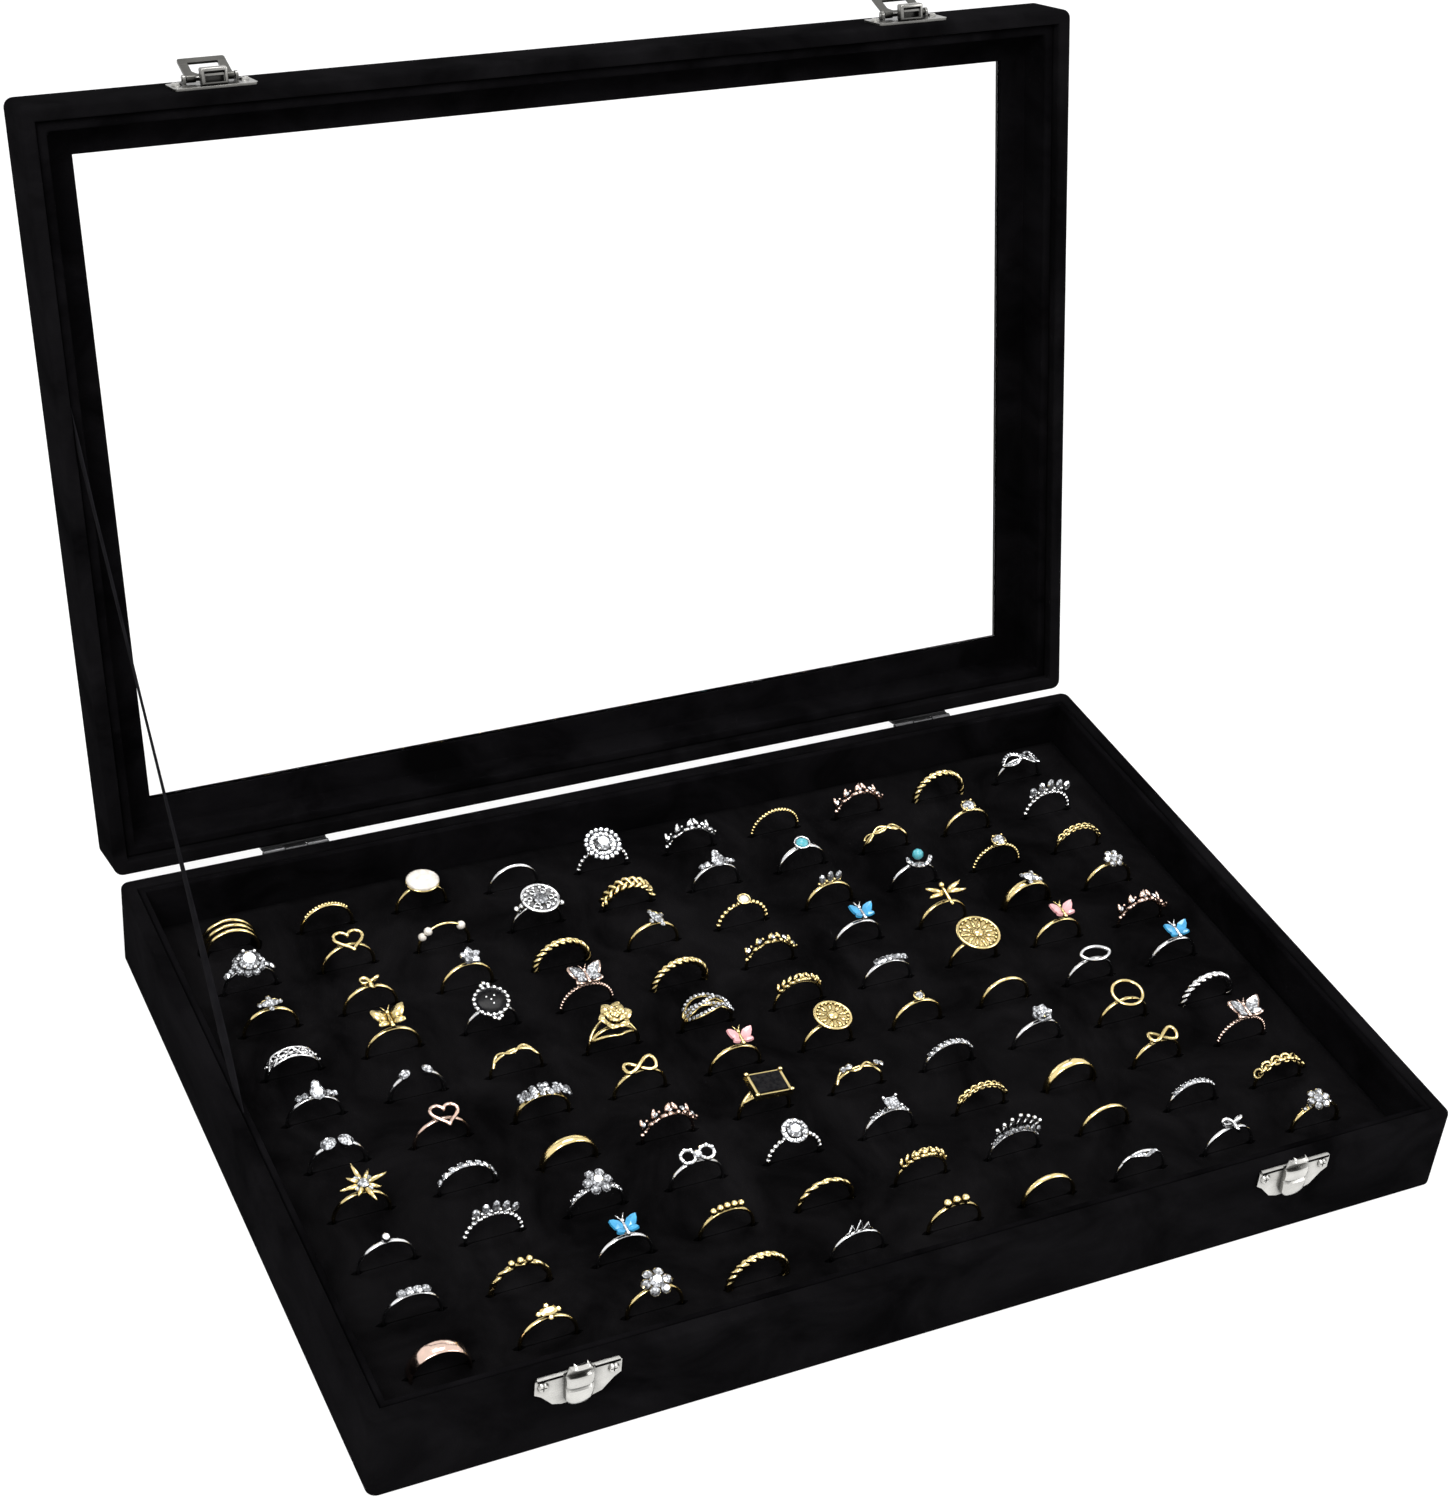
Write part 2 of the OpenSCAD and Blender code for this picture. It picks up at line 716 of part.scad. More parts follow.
module catch_plate(side) {
    color("#d9dadb")
        translate([side * fitting_x, -case_d / 2, 0])
            difference() {
                union() {
                    rotate([90, 0, 0])
                        linear_extrude(plate_t)
                            catch_outline();
                    for (end = [-1, 1])
                        translate([end * (plate_l + hook_w) / 4 - (plate_l - hook_w) / 4 + 0.6,
                                   -plate_t - fold_t, catch_top - fold_h])
                            cube([(plate_l - hook_w) / 2 - 1.2, fold_t + plate_t / 2, fold_h]);
                    intersection() {
                        translate([-hook_w / 2, 0, 0])
                            rotate([90, 0, 90])
                                linear_extrude(hook_w)
                                    mirror([1, 0])
                                        hook_profile();
                        rotate([90, 0, 0])
                            linear_extrude(hook_nose + over)
                                hook_outline();
                    }
                }
                for (end = [-1, 1])
                    translate([end * plate_screw_x, over, catch_screw_z])
                        rotate([90, 0, 0])
                            cylinder(r = screw_r + screw_fit, h = plate_t + 2 * over);
            }
}

module catch_screws() {
    color("#c9cacb")
        at_plate_screws(catch_screw_z) screw(plate_t + cloth_t, tray_grip);
}

// ---------------------------------------------------------------- ribbon

// Centre line of the ribbon in the plane of the left wall, with ends beyond the tacks
ribbon_run = [lid_tack.y - tray_tack.y, lid_tack.z - tray_tack.z];
ribbon_len = norm(ribbon_run);
ribbon_dir = ribbon_run / ribbon_len;
function ribbon_at(t) =
    [tray_tack.y, tray_tack.z] + ribbon_dir * (t * (ribbon_len + 2 * ribbon_end) - ribbon_end)
    - [0, 4 * ribbon_sag * t * (1 - t)];
function ribbon_side(t, way) =
    ribbon_at(t) + way * ribbon_w / 2 * [-ribbon_dir.y, ribbon_dir.x];

module lid_ribbon() {
    flat_y = ribbon_w + ribbon_end;             // stretch by each tack that lies flat
    low_x = tray_tack.x;
    high_x = lid_tack.x + lay_gap / 2;
    far = 2 * ribbon_w;
    color("#4a4a50")
        difference() {
            intersection() {
                translate([-case_w / 2, 0, 0])
                    rotate([90, 0, 90])
                        linear_extrude(wall_t + rail_wall)
                            polygon(concat(
                                [for (i = [0:ribbon_steps]) ribbon_side(i / ribbon_steps, 1)],
                                [for (i = [ribbon_steps:-1:0]) ribbon_side(i / ribbon_steps, -1)]));
                linear_extrude(lid_tack.z + far)
                    polygon([
                        [low_x, tray_tack.y - far], [low_x, tray_tack.y + flat_y],
                        [high_x, lid_tack.y - flat_y], [high_x, lid_tack.y + far],
                        [high_x + ribbon_t, lid_tack.y + far], [high_x + ribbon_t, lid_tack.y - flat_y],
                        [low_x + ribbon_t, tray_tack.y + flat_y], [low_x + ribbon_t, tray_tack.y - far]]);
            }
            for (p = [tray_tack, lid_tack])
                translate([-case_w / 2, p.y, p.z])
                    rotate([0, 90, 0])
                        cylinder(r = tack_r + screw_fit, h = wall_t + rail_wall + over);
        }
}

module ribbon_tray_tack() {
    color("#8f9295")
        translate(tray_tack + [ribbon_t, 0, 0])
            tack(ribbon_t + cloth_t, tray_grip);
}

module ribbon_lid_tack() {
    stand = ribbon_t + lay_gap / 2;
    color("#8f9295")
        in_lid()
            translate(lid_tack_shut + [stand, 0, 0])
                tack(stand + cloth_t, lid_grip);
}

// ---------------------------------------------------------------- lid

// The volume of the four lid rails together: upright walls with a lip over the glass
module rail_frame() {
    out = 2 * cloth_t;
    lip_in = 2 * (window_in + cloth_t);
    difference() {
        slab(case_w - out, case_d - out, lid_z + cloth_t, lid_z + lid_h - cloth_t, corner_r - cloth_t);
        opening(lid_in_w + out, lid_in_d + out, lid_z, lid_z + glass_top_s);
        opening(case_w - lip_in + 4 * cloth_t, case_d - lip_in + 4 * cloth_t, lid_z, lid_z + lid_h);
    }
}

module lid_rail(side) {
    color("#b08a5e")
        in_lid()
            difference() {
                mitred(side) rail_frame();
                lid_holes();
            }
}

module lid_velvet() {
    color("#141418")
        in_lid()
            difference() {
                cloth_block(lid_z, lid_z + lid_h, true);
                opening(lid_in_w, lid_in_d, lid_z - over, lid_z + glass_top_s);
                opening(case_w - 2 * window_in, case_d - 2 * window_in, lid_z, lid_z + lid_h + over);
                rail_frame();
                lid_holes();
            }
}

module glass_pane() {
    color("#dfeef0", 0.3)
        in_lid()
            opening(lid_in_w - 2 * lay_gap, lid_in_d - 2 * lay_gap, lid_z + liner_top_s, lid_z + glass_top_s);
}

module glass_liner() {
    liner_w = lid_in_w - 2 * lay_gap;
    liner_d = lid_in_d - 2 * lay_gap;
    color("#17171b")
        in_lid()
            difference() {
                opening(liner_w, liner_d, lid_z + liner_drop, lid_z + liner_top_s);
                opening(liner_w - 2 * liner_t, liner_d - 2 * liner_t, lid_z, lid_z + liner_foot_s);
                opening(case_w - 2 * window_in, case_d - 2 * window_in, lid_z, lid_z + lid_h);
                translate([-lid_in_w / 2 - over, lid_tack_shut.y - notch_w / 2, lid_z])
                    cube([over + ribbon_t + tack_head_t + 2 * lay_gap, notch_w, liner_foot_s]);
            }
}

// ---------------------------------------------------------------- latches on the lid

module latch_plate(side) {
    ear_x = flap_w / 2 + metal_gap;
    color("#d9dadb")
        in_lid()
            translate([side * fitting_x, 0, 0])
                difference() {
                    union() {
                        translate([0, -case_d / 2, lid_z + latch_plate_s + latch_plate_w / 2])
                            rotate([90, 0, 0])
                                linear_extrude(plate_t)
                                    plate2d(plate_l, latch_plate_w, 1.2);
                        for (end = [-1, 1])
                            translate([end * (ear_x + ear_t / 2) - ear_t / 2, 0, 0]) {
                                translate([0, latch_pin_y, latch_pin_z])
                                    rotate([0, 90, 0])
                                        cylinder(r = ear_r, h = ear_t);
                                translate([0, latch_pin_y, latch_pin_z - ear_r])
                                    cube([ear_t, latch_pin_out - plate_t / 2, 2 * ear_r]);
                            }
                        translate([-bridge_w / 2, -case_d / 2 - bridge_h, lid_z + bridge_low_s])
                            cube([bridge_w, bridge_h - plate_t / 2, bridge_high_s - bridge_low_s]);
                    }
                    translate([-bridge_w / 2 + bridge_t, -case_d / 2 - bridge_h + bridge_t, lid_z + bridge_low_s - over])
                        cube([bridge_w - 2 * bridge_t, bridge_h - bridge_t - plate_t, bridge_high_s - bridge_low_s + 2 * over]);
                    translate([-ear_x - ear_t - over, latch_pin_y, latch_pin_z])
                        rotate([0, 90, 0])
                            cylinder(r = latch_pin_r + pin_fit, h = 2 * (ear_x + ear_t + over));
                    for (end = [-1, 1])
                        translate([end * plate_screw_x, -case_d / 2 + over, latch_rivet_z])
                            rotate([90, 0, 0])
                                cylinder(r = screw_r + screw_fit, h = plate_t + 2 * over);
                }
}

module latch_pin(side) {
    reach = flap_w / 2 + metal_gap + ear_t + 0.2;
    color("#8f9295")
        in_lid()
            translate([side * fitting_x - reach, latch_pin_y, latch_pin_z])
                rotate([0, 90, 0])
                    cylinder(r = latch_pin_r, h = 2 * reach);
}

module latch_rivets() {
    color("#c9cacb")
        in_lid()
            at_plate_screws(latch_rivet_z) screw(plate_t + cloth_t, lid_grip);
}

// Flap at its pin, hanging down -Z as it does when it is latched
module flap_hanging() {
    difference() {
        union() {
            rotate([90, 0, 0])
                linear_extrude(flap_t, center = true)
                    difference() {
                        translate([0, -flap_l / 2 - 0.2])
                            plate2d(flap_w, flap_l - 0.4, 0.8);
                        intersection() {
                            translate([-window_w / 2, -flap_l + flap_bar])
                                square([window_w, flap_l - flap_bar - window_root]);
                            translate([0, -window_round_u])
                                circle(window_round);
                        }
                    }
            for (end = [-1, 1])
                translate([end * (flap_w - barrel_l) / 2 - barrel_l / 2, 0, 0])
                    rotate([0, 90, 0])
                        cylinder(r = barrel_r, h = barrel_l);
        }
        translate([-flap_w, 0, 0])
            rotate([0, 90, 0])
                cylinder(r = latch_pin_r + pin_fit, h = 2 * flap_w);
    }
}

module latch_flap(side) {
    color("#d9dadb")
        in_lid()
            translate([side * fitting_x, latch_pin_y, latch_pin_z])
                rotate([-(180 - flap_rest), 0, 0])
                    flap_hanging();
}

// ---------------------------------------------------------------- nodes

underside_felt();
floor_board();
side_board(0);  // front_board
side_board(1);  // right_board
side_board(2);  // back_board
side_board(3);  // left_board
tray_velvet();
tray_liner();
pad_card();
ring_pad();
rings_row(0);  // rings_row_01
rings_row(1);  // rings_row_02
rings_row(2);  // rings_row_03
rings_row(3);  // rings_row_04
rings_row(4);  // rings_row_05
rings_row(5);  // rings_row_06
rings_row(6);  // rings_row_07
rings_row(7);  // rings_row_08
rings_row(8);  // rings_row_09
rings_row(9);  // rings_row_10
hinge_leaf(left, false);  // hinge_tray_leaf_left
hinge_leaf(right, false);  // hinge_tray_leaf_right
hinge_pin(left);  // hinge_pin_left
hinge_pin(right);  // hinge_pin_right
hinge_screws(-1, tray_grip);  // hinge_tray_screws
catch_plate(left);  // catch_left
catch_plate(right);  // catch_right
catch_screws();
lid_ribbon();
ribbon_tray_tack();
lid_rail(0);  // lid_front_rail
lid_rail(1);  // lid_right_rail
lid_rail(2);  // lid_back_rail
lid_rail(3);  // lid_left_rail
lid_velvet();
glass_pane();
glass_liner();
in_lid() hinge_leaf(left, true);  // hinge_lid_leaf_left
in_lid() hinge_leaf(right, true);  // hinge_lid_leaf_right
in_lid() hinge_screws(1, lid_grip);  // hinge_lid_screws
latch_plate(left);  // latch_plate_left
latch_plate(right);  // latch_plate_right
latch_pin(left);  // latch_pin_left
latch_pin(right);  // latch_pin_right
latch_rivets();
ribbon_lid_tack();
latch_flap(left);  // latch_flap_left
latch_flap(right);  // latch_flap_right
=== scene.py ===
import json
import math
import random

import bmesh
import bpy
from mathutils import Matrix, Vector, noise


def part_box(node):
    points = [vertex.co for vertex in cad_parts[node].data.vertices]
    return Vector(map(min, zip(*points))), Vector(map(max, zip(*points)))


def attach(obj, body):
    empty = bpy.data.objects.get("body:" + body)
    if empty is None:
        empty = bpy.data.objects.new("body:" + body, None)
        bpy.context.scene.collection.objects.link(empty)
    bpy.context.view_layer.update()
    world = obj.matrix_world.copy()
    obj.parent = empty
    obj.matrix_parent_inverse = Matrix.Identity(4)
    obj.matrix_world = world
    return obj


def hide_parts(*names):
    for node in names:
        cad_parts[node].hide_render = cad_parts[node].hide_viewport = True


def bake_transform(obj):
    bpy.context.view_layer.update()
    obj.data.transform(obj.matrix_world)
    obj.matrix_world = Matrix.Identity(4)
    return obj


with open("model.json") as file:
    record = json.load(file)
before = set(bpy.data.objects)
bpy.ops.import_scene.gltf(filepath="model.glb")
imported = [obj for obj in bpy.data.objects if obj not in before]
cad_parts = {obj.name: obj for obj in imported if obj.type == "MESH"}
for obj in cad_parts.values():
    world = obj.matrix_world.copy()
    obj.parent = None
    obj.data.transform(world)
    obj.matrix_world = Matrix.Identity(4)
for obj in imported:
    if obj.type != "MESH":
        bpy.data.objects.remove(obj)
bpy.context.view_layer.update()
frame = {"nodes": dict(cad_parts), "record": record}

# A velvet ring display box. Everything is drawn in millimetres and turned into metres when
# a piece is finished; the lid is drawn shut and swung open about its hinges.

MM = 0.001


def corners(node):
    """A node's lowest and highest corners, in millimetres."""
    return [Vector(corner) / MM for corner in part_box(node)]


CASE_W, CASE_D, TRAY_H = corners("tray_velvet")[1] * 2
TRAY_H /= 2
LID_LOW, LID_H = TRAY_H + 0.3, 21.4
RIM = 4.6                 # wall with its velvet, tray and lid
LINER_GAP = 0.25
TRAY_LINER_T = 2.0
LID_LINER_T = 3.3
WINDOW_IN = 17.5          # from the lid's edge to its window
LIP_LOW = 19.2            # the lid's lip and its liner, above the lid's lower rim
LID_LINER_LOW, LID_SHELF_LOW, LID_SHELF_TOP = 3, 16.6, 17.6
VELVET_T, FELT_T = 0.6, 0.8
HEM = 5                   # velvet turned in under the tray
OUTSIDE = 1.6             # edges nearer than this to the outer face belong to it
SLIT_DEEP = 6
CORNER_R, EDGE_R = 3.0, 1.2
_, HINGE_Y, HINGE_Z = Vector(frame["record"]["behaviour"]["joints"][0]["pos_m"]) / MM
OPEN_ANGLE = math.radians(105)
FLOOR_TOP = 3.8
CARD_TOP = corners("ring_pad")[0].z
PAD_W, PAD_D, PAD_TOP = corners("ring_pad")[1] * 2
PAD_TOP /= 2

# The rings stand a little above the pad, and their rows and columns follow the solids
ROWS = COLUMNS = 10
SHANK_T, RING_RISE = 1.3, 0.6
BACK_ROW, FRONT_ROW = corners("rings_row_01"), corners("rings_row_10")
RING_Z = PAD_TOP + RING_RISE
RING_R = RING_Z - BACK_ROW[0].z
BORE = RING_R - SHANK_T
FIRST_X, LAST_X = BACK_ROW[0].x + RING_R, BACK_ROW[1].x - RING_R
FIRST_Y, LAST_Y = ((low.y + high.y) / 2 for low, high in (BACK_ROW, FRONT_ROW))
PITCH_X, PITCH_Y = (LAST_X - FIRST_X) / (COLUMNS - 1), (FIRST_Y - LAST_Y) / (ROWS - 1)

UP = Vector((0, 0, 1))
DOWN = Vector((0, 0, -1))
OPENED = (Matrix.Translation((0, HINGE_Y, HINGE_Z)) @ Matrix.Rotation(-OPEN_ANGLE, 4, "X")
          @ Matrix.Translation((0, -HINGE_Y, -HINGE_Z)))

rng = random.Random(14)


# ------------------------------------------------------------------ camera

# Where the camera stands, in metres, how it is turned, in degrees, and the size, the middle
# and the focal length of its picture, in pixels
CAMERA_AT = (-0.3465719, -0.6084764, 0.6174831)
AZIMUTH, ELEVATION, ROLL = -29.9238, 37.20051, 6.83307
PICTURE_W, PICTURE_H = 1455, 1500
MIDDLE_X, MIDDLE_Y, FOCAL = 802.557, 856.386, 2905.733
SENSOR = 36


def set_camera():
    azimuth, elevation, roll = (math.radians(a) for a in (AZIMUTH, ELEVATION, ROLL))
    back = Vector((math.sin(azimuth) * math.cos(elevation),
                   -math.cos(azimuth) * math.cos(elevation), math.sin(elevation)))
    right = UP.cross(back).normalized()
    above = back.cross(right)
    across = right * math.cos(roll) + above * math.sin(roll)
    upright = above * math.cos(roll) - right * math.sin(roll)
    data = bpy.data.cameras.new("camera")
    data.sensor_width = SENSOR
    data.lens = FOCAL * SENSOR / PICTURE_H
    data.shift_x = (PICTURE_W / 2 - MIDDLE_X) / PICTURE_H
    data.shift_y = (MIDDLE_Y - PICTURE_H / 2) / PICTURE_H
    data.clip_start, data.clip_end = 0.05, 20
    camera = bpy.data.objects.new("camera", data)
    bpy.context.collection.objects.link(camera)
    turn = Matrix((across, upright, back)).transposed().to_4x4()
    camera.matrix_world = Matrix.Translation(CAMERA_AT) @ turn
    bpy.context.scene.camera = camera


# ------------------------------------------------------------------ materials

class Finish:
    """A material with a Principled shader and short ways to add patterns to it."""

    def __init__(self, name, colour, roughness=0.5, metallic=0.0, **sockets):
        self.material = bpy.data.materials.new(name)
        self.material.use_nodes = True
        self.nodes = self.material.node_tree.nodes
        self.links = self.material.node_tree.links
        self.shader = self.nodes["Principled BSDF"]
        self.colour = (*colour, 1)
        self.set("Base Color", self.colour)
        self.set("Roughness", roughness)
        self.set("Metallic", metallic)
        for socket, value in sockets.items():
            self.set(socket.replace("_", " "), value)
        self.place = self.nodes.new("ShaderNodeTexCoord").outputs["Object"]
        self.height = None

    def set(self, socket, value):
        self.shader.inputs[socket].default_value = value

    def mapped(self, stretch, turn=(0, 0, 0)):
        mapping = self.nodes.new("ShaderNodeMapping")
        mapping.inputs["Scale"].default_value = stretch
        mapping.inputs["Rotation"].default_value = turn
        self.links.new(self.place, mapping.inputs["Vector"])
        return mapping.outputs["Vector"]

    def grain(self, scale, detail=3.0, rough=0.55, stretch=None, turn=(0, 0, 0), distortion=0.0):
        pattern = self.nodes.new("ShaderNodeTexNoise")
        pattern.inputs["Scale"].default_value = scale
        pattern.inputs["Detail"].default_value = detail
        pattern.inputs["Roughness"].default_value = rough
        pattern.inputs["Distortion"].default_value = distortion
        self.links.new(self.mapped(stretch, turn) if stretch else self.place,
                       pattern.inputs["Vector"])
        return pattern.outputs["Fac"]

    def cells(self, scale, stretch=None):
        pattern = self.nodes.new("ShaderNodeTexVoronoi")
        pattern.inputs["Scale"].default_value = scale
        self.links.new(self.mapped(stretch) if stretch else self.place,
                       pattern.inputs["Vector"])
        return pattern.outputs["Distance"]

    def ramp(self, value, stops):
        ramp = self.nodes.new("ShaderNodeValToRGB")
        marks = ramp.color_ramp.elements
        while len(marks) < len(stops):
            marks.new(0.5)
        for mark, (at, colour) in zip(marks, stops):
            mark.position = at
            mark.color = (*colour, 1) if len(colour) == 3 else colour
        self.links.new(value, ramp.inputs["Fac"])
        return ramp.outputs["Color"]

    def spread(self, value, low, high, start=0.3, end=0.7):
        span = self.nodes.new("ShaderNodeMapRange")
        for socket, number in (("From Min", start), ("From Max", end),
                               ("To Min", low), ("To Max", high)):
            span.inputs[socket].default_value = number
        self.links.new(value, span.inputs["Value"])
        return span.outputs["Result"]

    def paint_crevice_shade(self, colour, reach, dark, power=1.5):
        """Painted shade: darkens a colour by ambient occlusion in crevices and close to what stands
        beside it, where shade falls.
        """
        shade = self.nodes.new("ShaderNodeAmbientOcclusion")
        shade.samples = 6
        shade.inputs["Distance"].default_value = reach
        depth = self.nodes.new("ShaderNodeMath")
        depth.operation = "POWER"
        depth.inputs[1].default_value = power
        self.links.new(shade.outputs["AO"], depth.inputs[0])
        # where the occlusion is strong the colour turns to dark, the painted shade colour
        mix = self.nodes.new("ShaderNodeMix")
        mix.data_type = "RGBA"
        mix.inputs[6].default_value = (*dark, 1)
        self.links.new(depth.outputs[0], mix.inputs[0])
        self.links.new(colour, mix.inputs[7])
        return mix.outputs[2]

    def vary(self, socket, output):
        self.links.new(output, self.shader.inputs[socket])

    def bump(self, value, distance, strength=1.0):
        bump = self.nodes.new("ShaderNodeBump")
        bump.inputs["Distance"].default_value = distance
        bump.inputs["Strength"].default_value = strength
        self.links.new(value, bump.inputs["Height"])
        if self.height:
            self.links.new(self.height, bump.inputs["Normal"])
        self.height = bump.outputs["Normal"]
        self.links.new(self.height, self.shader.inputs["Normal"])


def dimmed(colour, level):
    return tuple(c * level for c in colour)


def shades(colour, low, high):
    return dimmed(colour, low), dimmed(colour, high)


def velvet(name, colour, sheen, scale=26.0):
    """Short black pile: brushed patches, a fine nap and a soft grazing shine."""
    finish = Finish(name, colour, roughness=0.95, Specular_IOR_Level=0.0, Sheen_Weight=sheen,
                    Sheen_Roughness=0.5, Sheen_Tint=(0.72, 0.72, 0.78, 1))
    patches = finish.grain(scale, detail=4, rough=0.62, stretch=(1, 0.7, 1.3), distortion=0.6)
    dark, light = shades(colour, 0.5, 1.7)
    finish.vary("Base Color", finish.ramp(patches, [(0.34, dark), (0.68, light)]))
    finish.bump(finish.grain(90, detail=5, rough=0.6), 0.00035, 0.5)
    finish.bump(finish.grain(1700, detail=2, rough=0.7), 0.00012, 0.7)
    return finish.material


def polished(name, colour, roughness, depth, dents=0.00004, scale=260):
    """Plated metal with a little waviness and slightly uneven polish, with painted shade darkening
    it in crevices and close to the pad and its neighbours; depth sets how strongly that painted
    shade deepens.
    """
    finish = Finish(name, colour, roughness=roughness, metallic=1.0)
    cloudy = finish.grain(scale, detail=3)
    finish.vary("Roughness", finish.spread(cloudy, roughness * 0.7, roughness * 1.6))
    dark, light = shades(colour, 0.78, 1.05)
    plate = finish.ramp(finish.grain(scale * 0.4), [(0.3, dark), (0.7, light)])
    # painted shade: the near-black colour the metal turns to where ambient occlusion finds crevices
    # or neighbours within 12 mm
    painted_shade = tuple(0.10 * c ** 1.6 for c in colour)
    finish.vary("Base Color", finish.paint_crevice_shade(plate, 0.012, painted_shade, depth))
    finish.bump(finish.grain(scale * 2.2, detail=2), dents, 0.5)
    return finish.material


def brushed(name, colour, roughness):
    """Pressed steel with fine drawn lines along X."""
    finish = Finish(name, colour, roughness=roughness, metallic=1.0)
    lines = finish.grain(1.0, detail=4, rough=0.7, stretch=(60, 2600, 2600))
    finish.vary("Roughness", finish.spread(lines, roughness * 0.75, roughness * 1.5))
    dark, light = shades(colour, 0.75, 1.05)
    plate = finish.ramp(finish.grain(140, detail=4), [(0.3, dark), (0.7, light)])
    # painted shade: ambient occlusion darkens the plate to near black in crevices and beside other
    # parts
    finish.vary("Base Color", finish.paint_crevice_shade(plate, 0.004, dimmed(colour, 0.04), 2.4))
    finish.bump(lines, 0.00002, 0.5)
    return finish.material


def stone(name, colour, metallic=0.0, roughness=0.04):
    """Cut glass stone: hard, bright facets, with painted sparkle of random light and dark cells
    standing in for glints and dark reflections, and painted shade in its crevices.
    """
    finish = Finish(name, colour, roughness=roughness, metallic=metallic, Coat_Weight=0.6,
                    Coat_Roughness=0.02, IOR=1.7)
    dark, light = shades(colour, 0.32, 1.15)
    # painted sparkle: light and dark cells stand in for the facets' glints and dark reflections;
    # painted shade follows in the crevices
    painted_sparkle = finish.ramp(finish.cells(1300), [(0.32, light), (0.62, dark)])
    finish.vary("Base Color", finish.paint_crevice_shade(painted_sparkle, 0.004, dimmed(colour, 0.06), 1.2))
    return finish.material


def enamel(name, colour, roughness=0.18):
    finish = Finish(name, colour, roughness=roughness, Coat_Weight=0.5, Coat_Roughness=0.06)
    dark, light = shades(colour, 0.7, 1.15)
    finish.vary("Base Color", finish.ramp(finish.grain(420, detail=3), [(0.3, dark), (0.7, light)]))
    finish.bump(finish.grain(900), 0.00004, 0.5)
    return finish.material


def onyx():
    """Deep black stone with a faint cloud in it and a soft polish."""
    finish = Finish("onyx", (0.006, 0.006, 0.007), roughness=0.2, Specular_IOR_Level=0.08)
    finish.vary("Base Color", finish.ramp(
        finish.grain(600, detail=3), [(0.4, (0.003, 0.003, 0.004)), (0.75, (0.016, 0.015, 0.015))]))
    finish.bump(finish.grain(900), 0.00002, 0.4)
    return finish.material


def felt():
    finish = Finish("felt", (0.012, 0.012, 0.013), roughness=0.95, Specular_IOR_Level=0.1,
                    Sheen_Weight=0.15, Sheen_Roughness=0.6)
    fibres = finish.grain(700, detail=6, rough=0.8, distortion=1.5)
    finish.vary("Base Color", finish.ramp(
        fibres, [(0.3, (0.006, 0.006, 0.007)), (0.7, (0.024, 0.024, 0.026))]))
    finish.bump(fibres, 0.0004, 0.8)
    return finish.material


def satin(colour):
    """Dark satin ribbon: fine ribs across it and a silky shine along it."""
    finish = Finish("ribbon_satin", colour, roughness=0.6, Specular_IOR_Level=0.0,
                    Sheen_Weight=0.006, Sheen_Roughness=0.4)
    ribs = finish.grain(1.0, detail=2, stretch=(500, 3200, 3200))
    dark, light = shades(colour, 0.75, 1.3)
    finish.vary("Base Color", finish.ramp(finish.grain(160), [(0.3, dark), (0.7, light)]))
    finish.vary("Roughness", finish.spread(ribs, 0.42, 0.62))
    finish.bump(ribs, 0.00005, 0.8)
    return finish.material


def wood():
    finish = Finish("board_wood", (0.45, 0.32, 0.2), roughness=0.6)
    grain = finish.grain(3.0, detail=6, rough=0.6, stretch=(4, 60, 60), distortion=0.8)
    finish.vary("Base Color", finish.ramp(
        grain, [(0.3, (0.3, 0.2, 0.11)), (0.7, (0.52, 0.38, 0.24))]))
    finish.bump(grain, 0.0002, 0.5)
    return finish.material


def card():
    finish = Finish("grey_card", (0.35, 0.32, 0.28), roughness=0.85)
    pulp = finish.grain(500, detail=6, rough=0.7)
    finish.vary("Base Color", finish.ramp(
        pulp, [(0.3, (0.27, 0.25, 0.22)), (0.7, (0.4, 0.37, 0.33))]))
    finish.bump(pulp, 0.0001, 0.5)
    return finish.material


def clear_glass():
    finish = Finish("pane_glass", (1.0, 1.0, 1.0), roughness=0.0, Transmission_Weight=1.0, IOR=1.45)
    finish.vary("Roughness", finish.spread(finish.grain(9, detail=2), 0.0, 0.012))
    return finish.material


VELVET = velvet("velvet_black", (0.0036, 0.0034, 0.0038), 0.004)
LINER_VELVET = velvet("velvet_liner", (0.0030, 0.0028, 0.0032), 0.003, scale=34)
PAD_FLOCK = velvet("pad_flock", (0.0036, 0.0034, 0.0037), 0.003, scale=40)
FELT = felt()
RIBBON = satin((0.0085, 0.0082, 0.0095))
WOOD, CARD, GLASS = wood(), card(), clear_glass()
NICKEL = brushed("nickel_plate", (0.66, 0.65, 0.62), 0.22)
# The latch bases, their bridges and the flaps are the same nickel plate as the catches, darkened as
# painted shade: mid shade for the bases and bridges, deep shade for the flaps
NICKEL_PAINTED_SHADE = brushed("nickel_painted_shade", (0.30, 0.295, 0.28), 0.24)
NICKEL_PAINTED_DEEP_SHADE = brushed("nickel_painted_deep_shade", (0.115, 0.113, 0.104), 0.3)
HINGE_STEEL = brushed("hinge_steel", (0.16, 0.16, 0.165), 0.36)
GOLD = polished("ring_gold", (1.0, 0.80, 0.38), 0.13, 2.2)
SILVER = polished("ring_silver", (0.96, 0.96, 0.97), 0.12, 1.7)
ROSE_GOLD = polished("ring_rose_gold", (1.0, 0.74, 0.62), 0.14, 1.9)
CRYSTAL = stone("crystal", (0.82, 0.84, 0.88), metallic=0.75)
PEARL = enamel("pearl", (0.86, 0.80, 0.72), roughness=0.22)
TURQUOISE = enamel("turquoise", (0.09, 0.47, 0.55))
